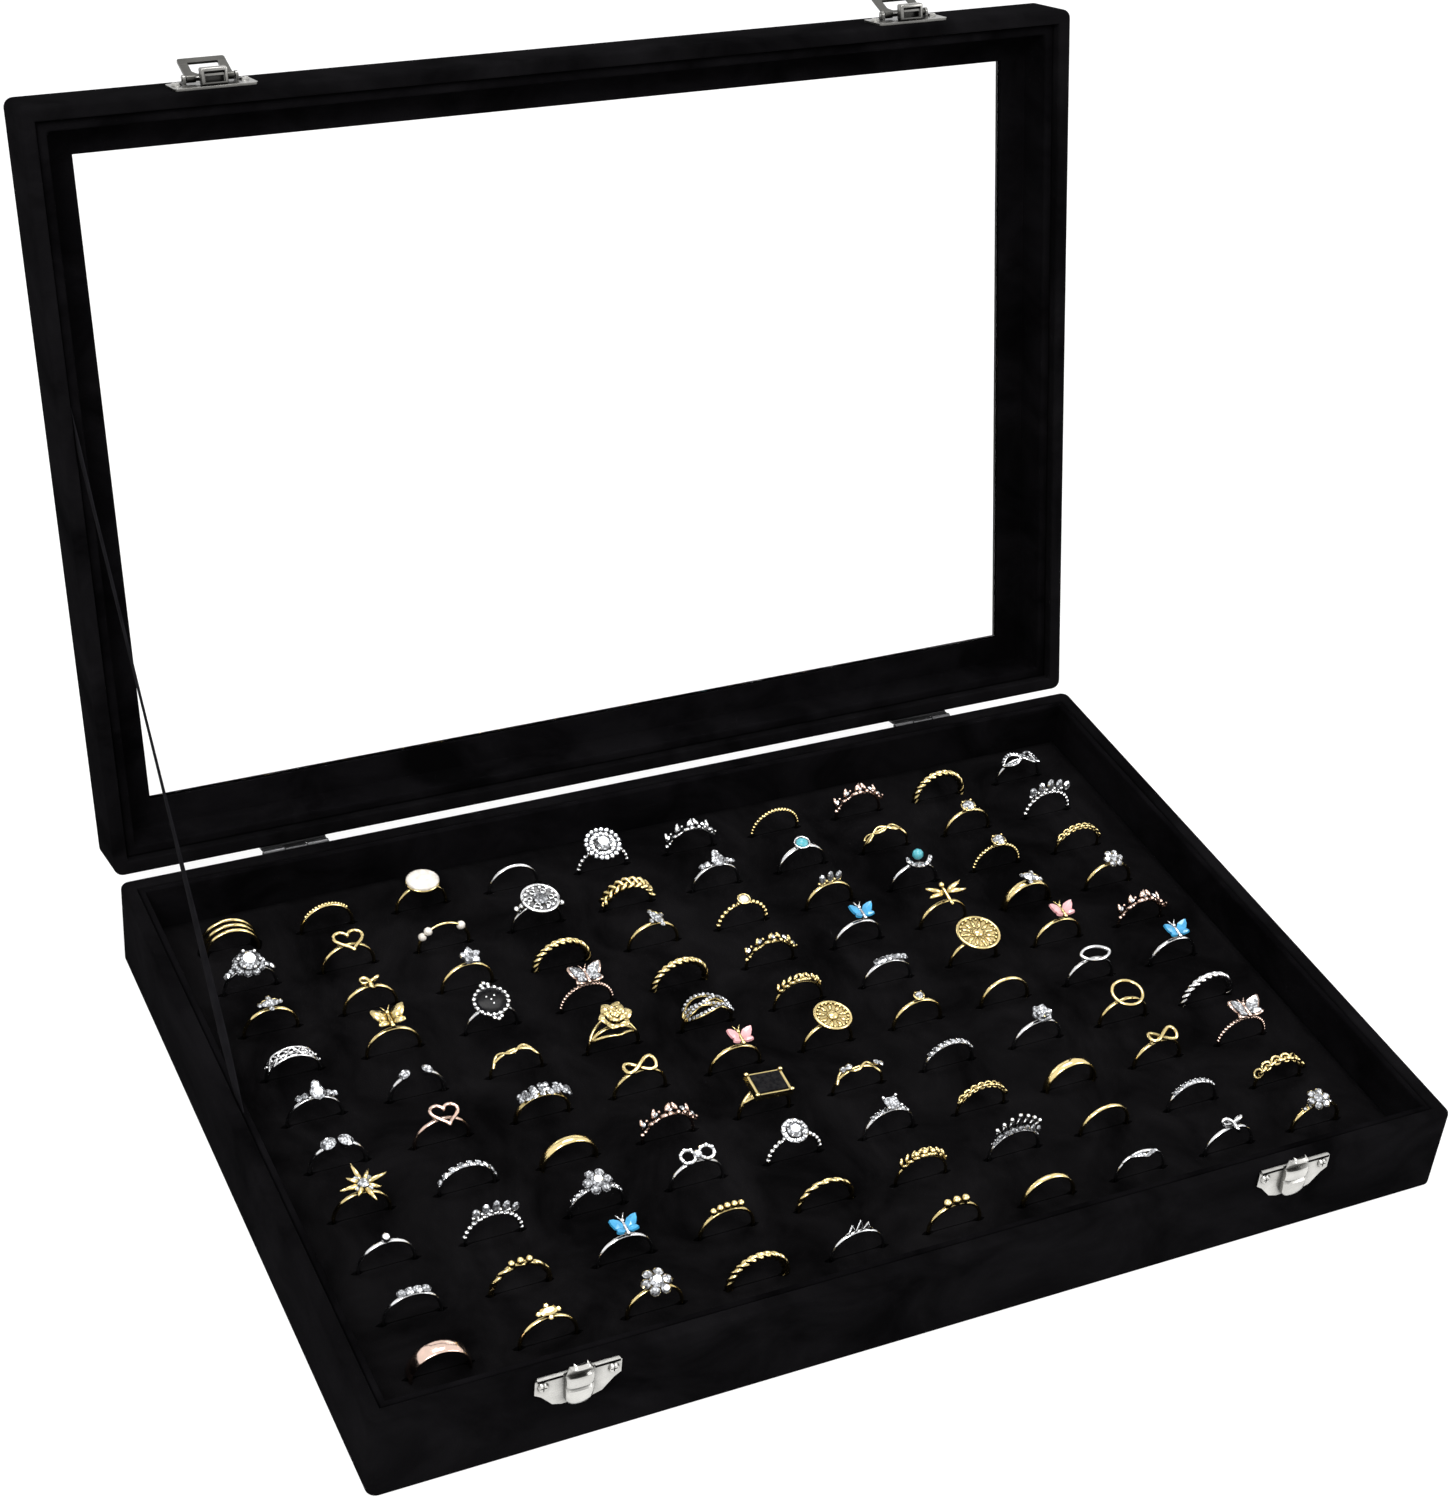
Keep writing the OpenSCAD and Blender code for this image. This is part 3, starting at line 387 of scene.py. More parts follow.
BLUE = enamel("blue_enamel", (0.05, 0.36, 0.66))
PINK = enamel("pink_enamel", (0.85, 0.42, 0.44))
ONYX = onyx()

# Order of the material slots on every ring piece
METAL, GEM, PALE, AQUA, SKY, ROSY, DARK = range(7)
TRIMS = [CRYSTAL, PEARL, TURQUOISE, BLUE, PINK, ONYX]


# ------------------------------------------------------------------ shaping

def cuboid(bm, low, high):
    low, high = Vector(low), Vector(high)
    verts = bmesh.ops.create_cube(bm, size=1)["verts"]
    bmesh.ops.scale(bm, vec=high - low, verts=verts)
    bmesh.ops.translate(bm, vec=(low + high) / 2, verts=verts)


def facing(bm, way, height=None):
    """The face that looks along way, at a height along it if one is given."""
    found = [f for f in bm.faces if f.normal.dot(way) > 0.99
             and (height is None or abs(f.calc_center_median().dot(way) - height) < 0.01)]
    return max(found, key=lambda f: f.calc_area())


def inset(bm, face, width):
    bmesh.ops.inset_individual(bm, faces=[face], thickness=width, use_even_offset=True)
    return face


def sink(bm, face, depth):
    """Pushes a face back along its own normal, with walls left behind it."""
    back = -face.normal.copy() * depth
    face = bmesh.ops.extrude_discrete_faces(bm, faces=[face])["faces"][0]
    bmesh.ops.translate(bm, vec=back, verts=list(face.verts))
    return face


def drop_faces(bm, faces):
    bmesh.ops.delete(bm, geom=faces, context="FACES_ONLY")
    bmesh.ops.remove_doubles(bm, verts=bm.verts, dist=0.001)


def soften(bm, edges, radius, segments=3):
    if edges:
        bmesh.ops.bevel(bm, geom=list(edges), offset=radius, offset_type="OFFSET", affect="EDGES",
                        segments=segments, profile=0.5, material=-1, clamp_overlap=True)


def rim_edges(bm, z, past=None, within=None):
    """Edges at one height whose ends lie in a band of distance from the box's outer face."""
    def inside(v):
        deep = min(CASE_W / 2 - abs(v.co.x), CASE_D / 2 - abs(v.co.y))
        return (abs(v.co.z - z) < 0.01 and (past is None or deep > past - 0.01)
                and (within is None or deep < within + 0.01))
    return [e for e in bm.edges if inside(e.verts[0]) and inside(e.verts[1])
            and abs(e.verts[0].co.z - e.verts[1].co.z) < 0.01]


def upright_edges(bm, deep):
    """Upright edges at the four corners of the loop that lies deep in from the outer face."""
    x, y = CASE_W / 2 - deep, CASE_D / 2 - deep
    return [e for e in bm.edges if (e.verts[0].co - e.verts[1].co).xy.length < 0.01
            and all(abs(abs(v.co.x) - x) < 0.01 and abs(abs(v.co.y) - y) < 0.01 for v in e.verts)]


def finish(name, bm, body, slot, materials, replaces=(), opened=False, smooth=40):
    """Turns a bmesh in millimetres into a piece that rides on a body."""
    if opened:
        bmesh.ops.transform(bm, matrix=OPENED, verts=bm.verts)
    bmesh.ops.scale(bm, vec=(MM, MM, MM), verts=bm.verts)
    mesh = bpy.data.meshes.new(name)
    bm.to_mesh(mesh)
    bm.free()
    for material in materials:
        mesh.materials.append(material)
    piece = bpy.data.objects.new(name, mesh)
    bpy.context.collection.objects.link(piece)
    if smooth:
        mesh.shade_smooth()
        mesh.set_sharp_from_angle(angle=math.radians(smooth))
    if body:
        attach(piece, body)
    if replaces:
        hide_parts(*replaces)
    return piece


def thicken(piece, thickness):
    wall = piece.modifiers.new("thickness", "SOLIDIFY")
    wall.thickness = thickness * MM
    wall.offset = -1


# ------------------------------------------------------------------ velvet shells

def tray_velvet():
    bm = bmesh.new()
    cuboid(bm, (-CASE_W / 2, -CASE_D / 2, 0), (CASE_W / 2, CASE_D / 2, TRAY_H))
    well = sink(bm, inset(bm, facing(bm, UP), RIM), TRAY_H - FLOOR_TOP)
    hem = inset(bm, facing(bm, DOWN), HEM)
    drop_faces(bm, [well, hem])
    soften(bm, upright_edges(bm, 0), CORNER_R, 6)
    soften(bm, rim_edges(bm, TRAY_H, within=OUTSIDE), EDGE_R, 4)
    soften(bm, rim_edges(bm, TRAY_H, past=RIM), 0.9, 3)
    soften(bm, rim_edges(bm, 0, within=OUTSIDE), 0.8, 3)
    cover = finish("tray_velvet_cover", bm, "case", "velvet", [VELVET], ["tray_velvet"])
    thicken(cover, VELVET_T)


def liner_block(bm, low, high):
    """The block that a liner is hollowed from, and how far inside the outer face it stands."""
    deep = RIM + LINER_GAP
    x, y = CASE_W / 2 - deep, CASE_D / 2 - deep
    cuboid(bm, (-x, -y, low), (x, y, high))
    return deep


def tray_liner():
    bm = bmesh.new()
    high = TRAY_H - 0.3
    deep = liner_block(bm, FLOOR_TOP, high)
    well = sink(bm, inset(bm, facing(bm, UP), TRAY_LINER_T), high - FLOOR_TOP)
    foot = inset(bm, facing(bm, DOWN), TRAY_LINER_T)
    drop_faces(bm, [well, foot])
    soften(bm, rim_edges(bm, high, past=deep + TRAY_LINER_T), 0.9, 3)
    soften(bm, rim_edges(bm, high, within=deep), 0.7, 3)
    finish("tray_velvet_liner", bm, "case", "liner_velvet", [LINER_VELVET], ["tray_liner"])


def lid_velvet():
    bm = bmesh.new()
    top, lip = LID_LOW + LID_H, LID_LOW + LIP_LOW
    cuboid(bm, (-CASE_W / 2, -CASE_D / 2, LID_LOW), (CASE_W / 2, CASE_D / 2, top))
    ceiling = sink(bm, inset(bm, facing(bm, DOWN), RIM), lip - LID_LOW)
    ceiling = inset(bm, ceiling, WINDOW_IN - RIM)
    window = sink(bm, inset(bm, facing(bm, UP, top), WINDOW_IN), top - lip)
    drop_faces(bm, [ceiling, window])
    soften(bm, upright_edges(bm, 0), CORNER_R, 6)
    soften(bm, rim_edges(bm, LID_LOW, within=OUTSIDE), EDGE_R, 4)
    soften(bm, rim_edges(bm, top, within=OUTSIDE), EDGE_R, 4)
    soften(bm, rim_edges(bm, LID_LOW, past=RIM), 0.9, 3)
    soften(bm, rim_edges(bm, top, past=WINDOW_IN), 1.0, 3)
    cover = finish("lid_velvet_cover", bm, "lid", "velvet", [VELVET], ["lid_velvet"], opened=True)
    thicken(cover, VELVET_T)


def lid_liner():
    bm = bmesh.new()
    low, shelf, high = (LID_LOW + up for up in (LID_LINER_LOW, LID_SHELF_LOW, LID_SHELF_TOP))
    deep = liner_block(bm, low, high)
    ceiling = sink(bm, inset(bm, facing(bm, DOWN), LID_LINER_T), shelf - low)
    ceiling = inset(bm, ceiling, WINDOW_IN - deep - LID_LINER_T)
    window = sink(bm, inset(bm, facing(bm, UP, high), WINDOW_IN - deep), high - shelf)
    drop_faces(bm, [ceiling, window])
    soften(bm, upright_edges(bm, deep + LID_LINER_T), 1.2, 3)
    soften(bm, rim_edges(bm, low, past=deep + LID_LINER_T), 1.1, 3)
    soften(bm, rim_edges(bm, low, within=deep), 0.9, 3)
    finish("lid_velvet_liner", bm, "lid", "liner_velvet", [LINER_VELVET], ["glass_liner"],
           opened=True)


# ------------------------------------------------------------------ pad and felt

def slit_x(column):
    return FIRST_X + column * PITCH_X


def slit_y(row):
    return FIRST_Y - row * PITCH_Y


def slit_half(x, kind):
    """Half the width of a slit at x from its middle: the lips close on the ring's sides."""
    if abs(x) > RING_R + 1.1:
        return 0.08
    grip = 3.7 if kind == "stack" else 0.85
    held = math.exp(-((abs(x) - RING_R + 0.6) / 1.5) ** 2)
    middle = 0.16 if abs(x) < RING_R else 0.08
    return middle + (grip - middle) * held


def ring_pad(kinds):
    """A sheet of foam with a slit under every ring, and rolled edges."""
    end = RING_R + 1.3
    half_x, half_y = PITCH_X / 2, PITCH_Y / 2
    across = [half_x, end + 1.8, end + 0.6, end, end - 0.7, end - 1.3, end - 2, end - 2.8,
              end - 4, 5, 2.5]
    across = [-x for x in across] + [0] + across[::-1]
    along = [half_y, 7.5, 4.6, 2.7, 1.6, 1.0]
    along = [-y for y in along] + along[::-1]
    xs = [-PAD_W / 2, -PAD_W / 2 + 1, -PAD_W / 2 + 3.5]
    ys = [-PAD_D / 2, -PAD_D / 2 + 1, -PAD_D / 2 + 3.5]
    for column in range(COLUMNS):
        xs += [slit_x(column) + x for x in (across if column == 0 else across[1:])]
    for row in reversed(range(ROWS)):
        ys += [slit_y(row) + y for y in (along if row == ROWS - 1 else along[1:])]
    xs += [-x for x in reversed(xs[:3])]
    ys += [-y for y in reversed(ys[:3])]
    bm = bmesh.new()
    bmesh.ops.create_grid(bm, x_segments=len(xs) - 1, y_segments=len(ys) - 1, size=1)
    for v in bm.verts:
        i = round((v.co.x + 1) / 2 * (len(xs) - 1))
        j = round((v.co.y + 1) / 2 * (len(ys) - 1))
        v.co = (xs[i], ys[j], PAD_TOP)
    bm.normal_update()

    def from_edge(co):
        return min(PAD_W / 2 - abs(co.x), PAD_D / 2 - abs(co.y))

    def nearest(co):
        column = min(COLUMNS - 1, max(0, round((co.x - FIRST_X) / PITCH_X)))
        row = min(ROWS - 1, max(0, round((FIRST_Y - co.y) / PITCH_Y)))
        return column, row, co.x - slit_x(column), co.y - slit_y(row)

    slits = set()
    for f in bm.faces:
        _, _, x, y = nearest(f.calc_center_median())
        if abs(x) < end and abs(y) < 0.9:
            slits.add(f)
    # lips: the lines beside each slit follow its width, and the foam dips towards them
    for v in bm.verts:
        column, row, x, y = nearest(v.co)
        edge = from_edge(v.co)
        fall = 0.0
        if abs(x) < half_x + 0.1 and abs(y) < half_y + 0.1:
            half = slit_half(x, kinds[row][column])
            if abs(abs(y) - 1.0) < 0.01:
                v.co.y += (half - 1.0) * math.copysign(1, y)
            elif abs(y) < 5:
                v.co.y += math.copysign(max(0, half - 0.6) * (5 - abs(y)) / 5, y)
            near = max(0, 1 - max(0, abs(x) - RING_R - 0.4) / 3)
            fall = 0.22 * near * math.exp(-abs(y) / 1.3) + 0.12 * math.exp(-abs(y) / 4)
        wave = 0.35 * noise.noise(Vector((v.co.x * 0.03, v.co.y * 0.05, 2)))
        roll = 1.6 * max(0, 1 - edge / 3.5) ** 2
        v.co.z += wave - fall - roll
    bottoms = bmesh.ops.extrude_face_region(bm, geom=list(slits))["geom"]
    bmesh.ops.delete(bm, geom=[f for f in slits if f.is_valid], context="FACES_ONLY")
    for v in (g for g in bottoms if isinstance(g, bmesh.types.BMVert)):
        v.co.z = PAD_TOP - SLIT_DEEP
    skirt = bmesh.ops.extrude_edge_only(bm, edges=[
        e for e in bm.edges
        if e.is_boundary and all(from_edge(v.co) < 0.3 for v in e.verts)])["geom"]
    for v in (g for g in skirt if isinstance(g, bmesh.types.BMVert)):
        v.co.z = CARD_TOP
    bmesh.ops.holes_fill(bm, edges=[g for g in skirt if isinstance(g, bmesh.types.BMEdge)], sides=0)
    bmesh.ops.recalc_face_normals(bm, faces=bm.faces)
    piece = finish("foam_ring_pad", bm, "case", "pad_flock", [PAD_FLOCK], ["ring_pad"], smooth=60)


def underside_felt():
    bm = bmesh.new()
    bmesh.ops.create_grid(bm, x_segments=68, y_segments=46, size=0.5)
    w, d = CASE_W - 10.6, CASE_D - 10.6
    for v in bm.verts:
        x, y = v.co.x * w, v.co.y * d
        ragged = 0.25 * noise.noise(Vector((x * 0.08, y * 0.08, 5)))
        ragged_x, ragged_y = (ragged if abs(c) > 0.49 else 0 for c in v.co.xy)
        v.co = (x + ragged_x, y + ragged_y, 0)
    bmesh.ops.reverse_faces(bm, faces=bm.faces)
    sheet = finish("underside_felt_sheet", bm, "case", "felt", [FELT], ["underside_felt"])
    thicken(sheet, FELT_T)


# ------------------------------------------------------------------ ribbon

def lid_point(x, up, high):
    """A point of the open lid: up from the hinge axis, and above the lid's rim."""
    return OPENED @ Vector((x, HINGE_Y - up, LID_LOW + high))


def ribbon():
    """Satin strap from behind the tray's liner to behind the lid's, with a slack quarter turn."""
    width, thick = 5.6, 0.35
    inside = CASE_W / 2 - RIM - 0.4
    start, end = Vector((-inside, -11.5, TRAY_H - 17.5)), lid_point(-inside + 0.1, 158, 9)
    steps = 72
    sag = Vector((1.1, -1.2, -5.5))
    bm = bmesh.new()
    edges = None
    side_x = Vector((1, 0, 0))
    path = [start + (end - start) * (i / steps) + sag * math.sin(math.pi * i / steps)
            for i in range(steps + 1)]
    for i, p in enumerate(path):
        t = i / steps
        along = (path[min(i + 1, steps)] - path[max(i - 1, 0)]).normalized()
        flat = side_x.cross(along).normalized()      # in the wall's plane, across the ribbon
        free = min(1, max(0, (t - 0.10) / 0.10)) * min(1, max(0, (0.93 - t) / 0.08))
        turn = math.radians(free * (12 - 26 * t + 5 * math.sin(9 * t)))
        wide = flat * math.cos(turn) + side_x * math.sin(turn)
        if edges is None:
            strip = [bm.verts.new(p + wide * width * (k / 4 - 0.5)) for k in range(5)]
            edges = [bm.edges.new((strip[k], strip[k + 1])) for k in range(4)]
        else:
            made = bmesh.ops.extrude_edge_only(bm, edges=edges)["geom"]
            strip = [g for g in made if isinstance(g, bmesh.types.BMVert)]
            edges = [g for g in made if isinstance(g, bmesh.types.BMEdge)
                     and all(v in strip for v in g.verts)]
            order = sorted(strip, key=lambda v: (v.co - path[i - 1]).dot(last))
            cup = 0.25 * free
            for k, v in enumerate(order):
                u = k / 4 - 0.5
                v.co = p + wide * width * u + wide.cross(along) * cup * (1 - (2 * u) ** 2)
        last = wide
    piece = finish("lid_stay_ribbon", bm, None, "ribbon", [RIBBON], ["lid_ribbon"])
    piece.modifiers.new("thickness", "SOLIDIFY").thickness = thick * MM
    return piece


# ------------------------------------------------------------------ hardware

def from_node(node, name, body, slot, material, edge=0.12, segments=2, cut=None):
    """A merged copy of a metal node, with its edges broken, and cut off in front if asked."""
    bm = bmesh.new()
    bm.from_mesh(frame["nodes"][node].data)
    bmesh.ops.scale(bm, vec=(1 / MM,) * 3, verts=bm.verts)
    bmesh.ops.remove_doubles(bm, verts=bm.verts, dist=0.002)
    bmesh.ops.dissolve_limit(bm, angle_limit=math.radians(2), verts=bm.verts, edges=bm.edges)
    if cut:
        for spot, way in (((0, cut, 0), (0, -1, 0)), ((0, 0, TRAY_H - 0.95), (0, 0, 1))):
            bmesh.ops.bisect_plane(bm, geom=bm.verts[:] + bm.edges[:] + bm.faces[:], plane_co=spot,
                                   plane_no=way, clear_outer=True)
    piece = finish(name, bm, body, slot, [material], [node], smooth=38)
    rounding = piece.modifiers.new("edge", "BEVEL")
    rounding.width = edge * MM
    rounding.segments = segments
    rounding.limit_method = "ANGLE"
    rounding.angle_limit = math.radians(38)
    rounding.use_clamp_overlap = True


# Side view of a catch's hook, from its round foot up to its nose: height over the tray's
# underside less the tray's own height, and distance out from the tray's front
HOOK_LINE = [(-13.6, 0.9), (-13.2, 2.1), (-12.2, 2.9), (-10.5, 3.4), (-8.4, 3.6), (-6.9, 3.4),
             (-6.2, 2.5), (-5.6, 3.3), (-4.4, 3.7), (-3.0, 3.5), (-2.1, 3.0), (-1.8, 1.6),
             (1.2, 1.5), (1.4, 3.3), (1.8, 3.9), (2.2, 3.8), (2.6, 2.9)]


def catch_hook(side, x):
    """The bulging tongue of a catch: a round foot, a groove for the flap's bar and a nose."""
    width, nose, foot = 4.2, 3.0, HOOK_LINE[0][0]
    across = 12
    bm = bmesh.new()
    bmesh.ops.create_grid(bm, x_segments=across, y_segments=len(HOOK_LINE) - 1, size=1)
    for v in bm.verts:
        turn = v.co.x * math.pi / 2
        height, out = HOOK_LINE[round((v.co.y + 1) / 2 * (len(HOOK_LINE) - 1))]
        half = width if height < 0 else nose
        if height < foot + width:
            half *= math.sqrt(max(0.09, 1 - ((foot + width - height) / width) ** 2))
        if height > 1.5:
            half *= 0.95 - 0.25 * (height - 1.5)
        swell = max(0.0, math.cos(turn)) ** 0.32
        back = 0.5 if height < -1.9 else max(1.1, out - 1.4)
        v.co = (x + half * math.sin(turn), -CASE_D / 2 - back - (out - back) * swell,
                TRAY_H + height)
    bmesh.ops.holes_fill(bm, edges=[e for e in bm.edges if e.is_boundary], sides=0)
    bmesh.ops.triangulate(bm, faces=[f for f in bm.faces if len(f.verts) > 4])
    bmesh.ops.recalc_face_normals(bm, faces=bm.faces)
    finish("catch_hook_" + side, bm, "case", "nickel", [NICKEL], smooth=32)


def stop_bridge(side, x):
    """Folded block behind a latch's flap, open towards the lid's rim."""
    front = -CASE_D / 2
    bm = bmesh.new()
    cuboid(bm, (x - 4.1, front - 5.9, LID_LOW + 2.6), (x + 4.1, front - 0.7, LID_LOW + 5.6))
    mouth = inset(bm, facing(bm, DOWN), 0.95)
    sink(bm, mouth, 2.4)
    outer = [e for e in bm.edges if all(
        abs(abs(v.co.x - x) - 4.1) < 0.01 and v.co.y < front - 0.6 for v in e.verts)]
    soften(bm, outer, 0.55, 3)
    finish("latch_bridge_" + side, bm, "lid", "nickel", [NICKEL_PAINTED_SHADE], opened=True)


def hardware():
    for side in ("left", "right"):
        low, high = corners("catch_" + side)
        middle = (low.x + high.x) / 2
        from_node("catch_" + side, "catch_plate_" + side, "case", "nickel", NICKEL, 0.18,
                  cut=-CASE_D / 2 - 1.3)
        catch_hook(side, middle)
        stop_bridge(side, middle)
        # latch bases and flaps take the nickel darkened as painted shade
        from_node("latch_plate_" + side, "latch_base_" + side, "lid", "nickel", NICKEL_PAINTED_SHADE, 0.15)
        from_node("latch_flap_" + side, "snap_flap_" + side, "latch_" + side, "nickel",
                  NICKEL_PAINTED_DEEP_SHADE, 0.15)
        from_node("latch_pin_" + side, "snap_pin_" + side, "lid", "nickel", NICKEL, 0.1)
        from_node("hinge_tray_leaf_" + side, "hinge_leaf_tray_" + side, "case", "hinge_steel",
                  HINGE_STEEL, 0.1)
        from_node("hinge_lid_leaf_" + side, "hinge_leaf_lid_" + side, "lid", "hinge_steel",
                  HINGE_STEEL, 0.1)
        from_node("hinge_pin_" + side, "hinge_rod_" + side, "case", "hinge_steel",
                  HINGE_STEEL, 0.15)
    from_node("catch_screws", "catch_plate_screws", "case", "nickel", NICKEL, 0.06)
    from_node("latch_rivets", "latch_base_screws", "lid", "nickel", NICKEL, 0.06)
    from_node("hinge_tray_screws", "hinge_screws_tray", "case", "hinge_steel", HINGE_STEEL, 0.06)
    from_node("hinge_lid_screws", "hinge_screws_lid", "lid", "hinge_steel", HINGE_STEEL, 0.06)


def dress_node(node, material):
    piece = frame["nodes"][node]
    for slot in piece.material_slots:
        slot.material = material
    if not piece.material_slots:
        piece.data.materials.append(material)


# ------------------------------------------------------------------ ring parts
# A ring is drawn with its bore along Y, its middle at the origin and its crown at the top.
# A place on it is a matrix: X along the band, Y across it and Z outwards.

def arc(angle, lift=0.0, side=0.0, lean=0.0):
    a = math.radians(angle)
    out = Vector((math.cos(a), 0, math.sin(a)))
    along = Vector((math.sin(a), 0, -math.cos(a)))
    turn = Matrix((along, Vector((0, 1, 0)), out)).transposed().to_4x4()
    return (Matrix.Translation(out * (BORE + 1.2 + lift) + Vector((0, side, 0))) @ turn
            @ Matrix.Rotation(math.radians(lean), 4, "X"))


def moved(x=0.0, y=0.0, z=0.0, turn=0.0, tilt=0.0, roll=0.0):
    return (Matrix.Translation((x, y, z)) @ Matrix.Rotation(math.radians(turn), 4, "Z")
            @ Matrix.Rotation(math.radians(tilt), 4, "Y")
            @ Matrix.Rotation(math.radians(roll), 4, "X"))


def round_about(count, wide, deep=None, start=0.0):
    """Evenly spaced angles on a circle or an oval, each with its place."""
    for i in range(count):
        a = math.radians(start) + math.tau * i / count
        yield a, wide * math.cos(a), (wide if deep is None else deep) * math.sin(a)


def paint(verts, kind, smooth=True):
    for f in {f for v in verts for f in v.link_faces}:
        f.material_index = kind
        f.smooth = smooth


def ball(bm, at, r, kind=METAL, squash=1.0):
    made = bmesh.ops.create_uvsphere(bm, u_segments=8, v_segments=5, radius=r,
                                     matrix=at @ Matrix.Diagonal((1, 1, squash, 1)))["verts"]
    paint(made, kind)


def gem(bm, at, r, kind=GEM, long=1.0, sides=8, cup=True):
    """A cut stone: a crown with a flat table over a shallow point, in a plain setting."""
    shape = at @ Matrix.Diagonal((1, long, 1, 1))
    made = bmesh.ops.create_cone(
        bm, cap_ends=True, segments=sides, radius1=r, radius2=r * 0.56, depth=r * 0.42,
        matrix=shape @ moved(z=r * 0.21))["verts"]
    paint(made, kind, smooth=False)
    if cup:
        made = bmesh.ops.create_cone(
            bm, cap_ends=False, segments=sides, radius1=r * 0.45, radius2=r * 1.04, depth=r * 0.8,
            matrix=shape @ moved(z=-r * 0.36))["verts"]
        paint(made, METAL)


def claws(bm, at, r, count=4, long=1.0, start=45):
    for _, x, y in round_about(count, r, r * long, start):
        ball(bm, at @ moved(x, y, r * 0.2), r * 0.2)


def leaf(bm, at, long, wide, kind=METAL, thick=0.5, puff=0.35):
    """A pointed petal from the origin along X, with a raised middle."""
    outline = bmesh.ops.create_circle(bm, cap_ends=True, segments=10, radius=1,
                                      matrix=Matrix())["verts"]
    for v in outline:
        t = (v.co.x + 1) / 2
        half = wide / 2 * math.sin(math.pi * t ** 0.85) ** 0.8 if 0 < t < 1 else 0
        v.co = (long * t, math.copysign(half, v.co.y), 0)
    face = outline[0].link_faces[0]
    top = bmesh.ops.extrude_discrete_faces(bm, faces=[face])["faces"][0]
    for v in top.verts:
        v.co.z += thick
    middle = bmesh.ops.poke(bm, faces=[top], offset=puff)["verts"]
    verts = {v for f in middle[0].link_faces for v in f.verts}
    verts |= set(outline) if outline[0].is_valid else set()
    verts |= {w for v in list(verts) for e in v.link_edges for w in e.verts}
    bmesh.ops.transform(bm, matrix=at, verts=list(verts))
    paint(verts, kind, smooth=kind in (METAL, PALE))


def wire(bm, path, r, kind=METAL, sides=6, closed=False, flat=1.0):
    """A round wire along a line of points."""
    count = len(path)
    loop = None
    for i, p in enumerate(path):
        ahead = path[(i + 1) % count] if closed or i + 1 < count else p
        behind = path[i - 1] if closed or i else p
        along = (ahead - behind).normalized()
        out = Vector((p.x, 0, p.z)).normalized() if p.length > 4 else UP
        out = (out - along * out.dot(along)).normalized()
        side = along.cross(out)
        turn = Matrix((side, out * flat, along)).transposed().to_4x4()
        at = Matrix.Translation(p) @ turn
        if loop is None:
            loop = bmesh.ops.create_circle(bm, segments=sides, radius=r, matrix=at)["verts"]
            turn_before = at
            edges = list({e for v in loop for e in v.link_edges})
            start_edges = list(edges)
        else:
            made = bmesh.ops.extrude_edge_only(bm, edges=edges)["geom"]
            loop = [g for g in made if isinstance(g, bmesh.types.BMVert)]
            edges = [g for g in made if isinstance(g, bmesh.types.BMEdge)
                     and g.verts[0] in loop and g.verts[1] in loop]
            bmesh.ops.transform(bm, matrix=at @ turn_before.inverted(), verts=loop)
            turn_before = at
        paint(loop, kind)
    if closed:
        made = bmesh.ops.bridge_loops(bm, edges=edges + start_edges)["faces"]
    else:
        made = bmesh.ops.holes_fill(bm, edges=start_edges + edges, sides=0)["faces"]
    for f in made:
        f.material_index, f.smooth = kind, True


def band(bm, width=1.8, thick=1.2, steps=48, sides=8, side=0.0, lift=0.0):
    """A plain shank with rounded faces."""
    profile = bmesh.ops.create_circle(bm, segments=sides, radius=1, matrix=Matrix())["verts"]
    bmesh.ops.scale(bm, vec=(thick / 2, width / 2, 1), verts=profile)
    bmesh.ops.translate(bm, vec=(BORE + thick / 2 + lift, side, 0), verts=profile)
    edges = list({e for v in profile for e in v.link_edges})
    bmesh.ops.spin(bm, geom=profile + edges, cent=(0, 0, 0), axis=(0, 1, 0), dvec=(0, 0, 0),
                   angle=math.tau, steps=steps, use_merge=True, use_duplicate=False)
    for f in bm.faces:
        f.smooth = True


def rope(bm, r=0.95, lobes=3, twists=8, side=0.0, steps=144):
    """A band of strands laid like rope."""
    before = set(bm.verts)
    band(bm, width=2 * r, thick=2 * r, steps=steps, sides=lobes * 6, side=side)
    for v in set(bm.verts) - before:
        a = math.atan2(v.co.z, v.co.x)
        reach = math.hypot(v.co.x, v.co.z)
        dx, dy = reach - (BORE + r), v.co.y - side
        b, d = math.atan2(dy, dx), math.hypot(dx, dy)
        d *= 0.62 + 0.56 * abs(math.cos(lobes * b / 2))
        b += twists * a
        reach = BORE + r + d * math.cos(b)
        v.co = (reach * math.cos(a), side + d * math.sin(b), reach * math.sin(a))


def around(start, end, count):
    return [start + (end - start) * i / (count - 1) for i in range(count)]


def arc_wire(bm, start, end, r=0.6, side=None, lift=None, steps=40, **more):
    """A wire along the band whose side shift and lift may change with the angle."""
    path = []
    for a in around(start, end, steps):
        at = arc(a, (lift(a) if lift else 0) - 0.6, side(a) if side else 0)
        path.append(at.translation.copy())
    wire(bm, path, r, **more)


def outline_wire(bm, at, points, r=0.5, kind=METAL, **more):
    wire(bm, [at @ Vector(p) for p in points], r, kind, closed=True, **more)


def heart_line(size, steps=30):
    points = []
    for i in range(steps):
        t = math.tau * i / steps
        points.append((size * math.sin(t) ** 3,
                       size * (13 * math.cos(t) - 5 * math.cos(2 * t) - 2 * math.cos(3 * t)
                               - math.cos(4 * t)) / 16, 0))
    return points


def oval_line(a, b, steps=20, z=0.0):
    return [(x, y, z) for _, x, y in round_about(steps, a, b)]


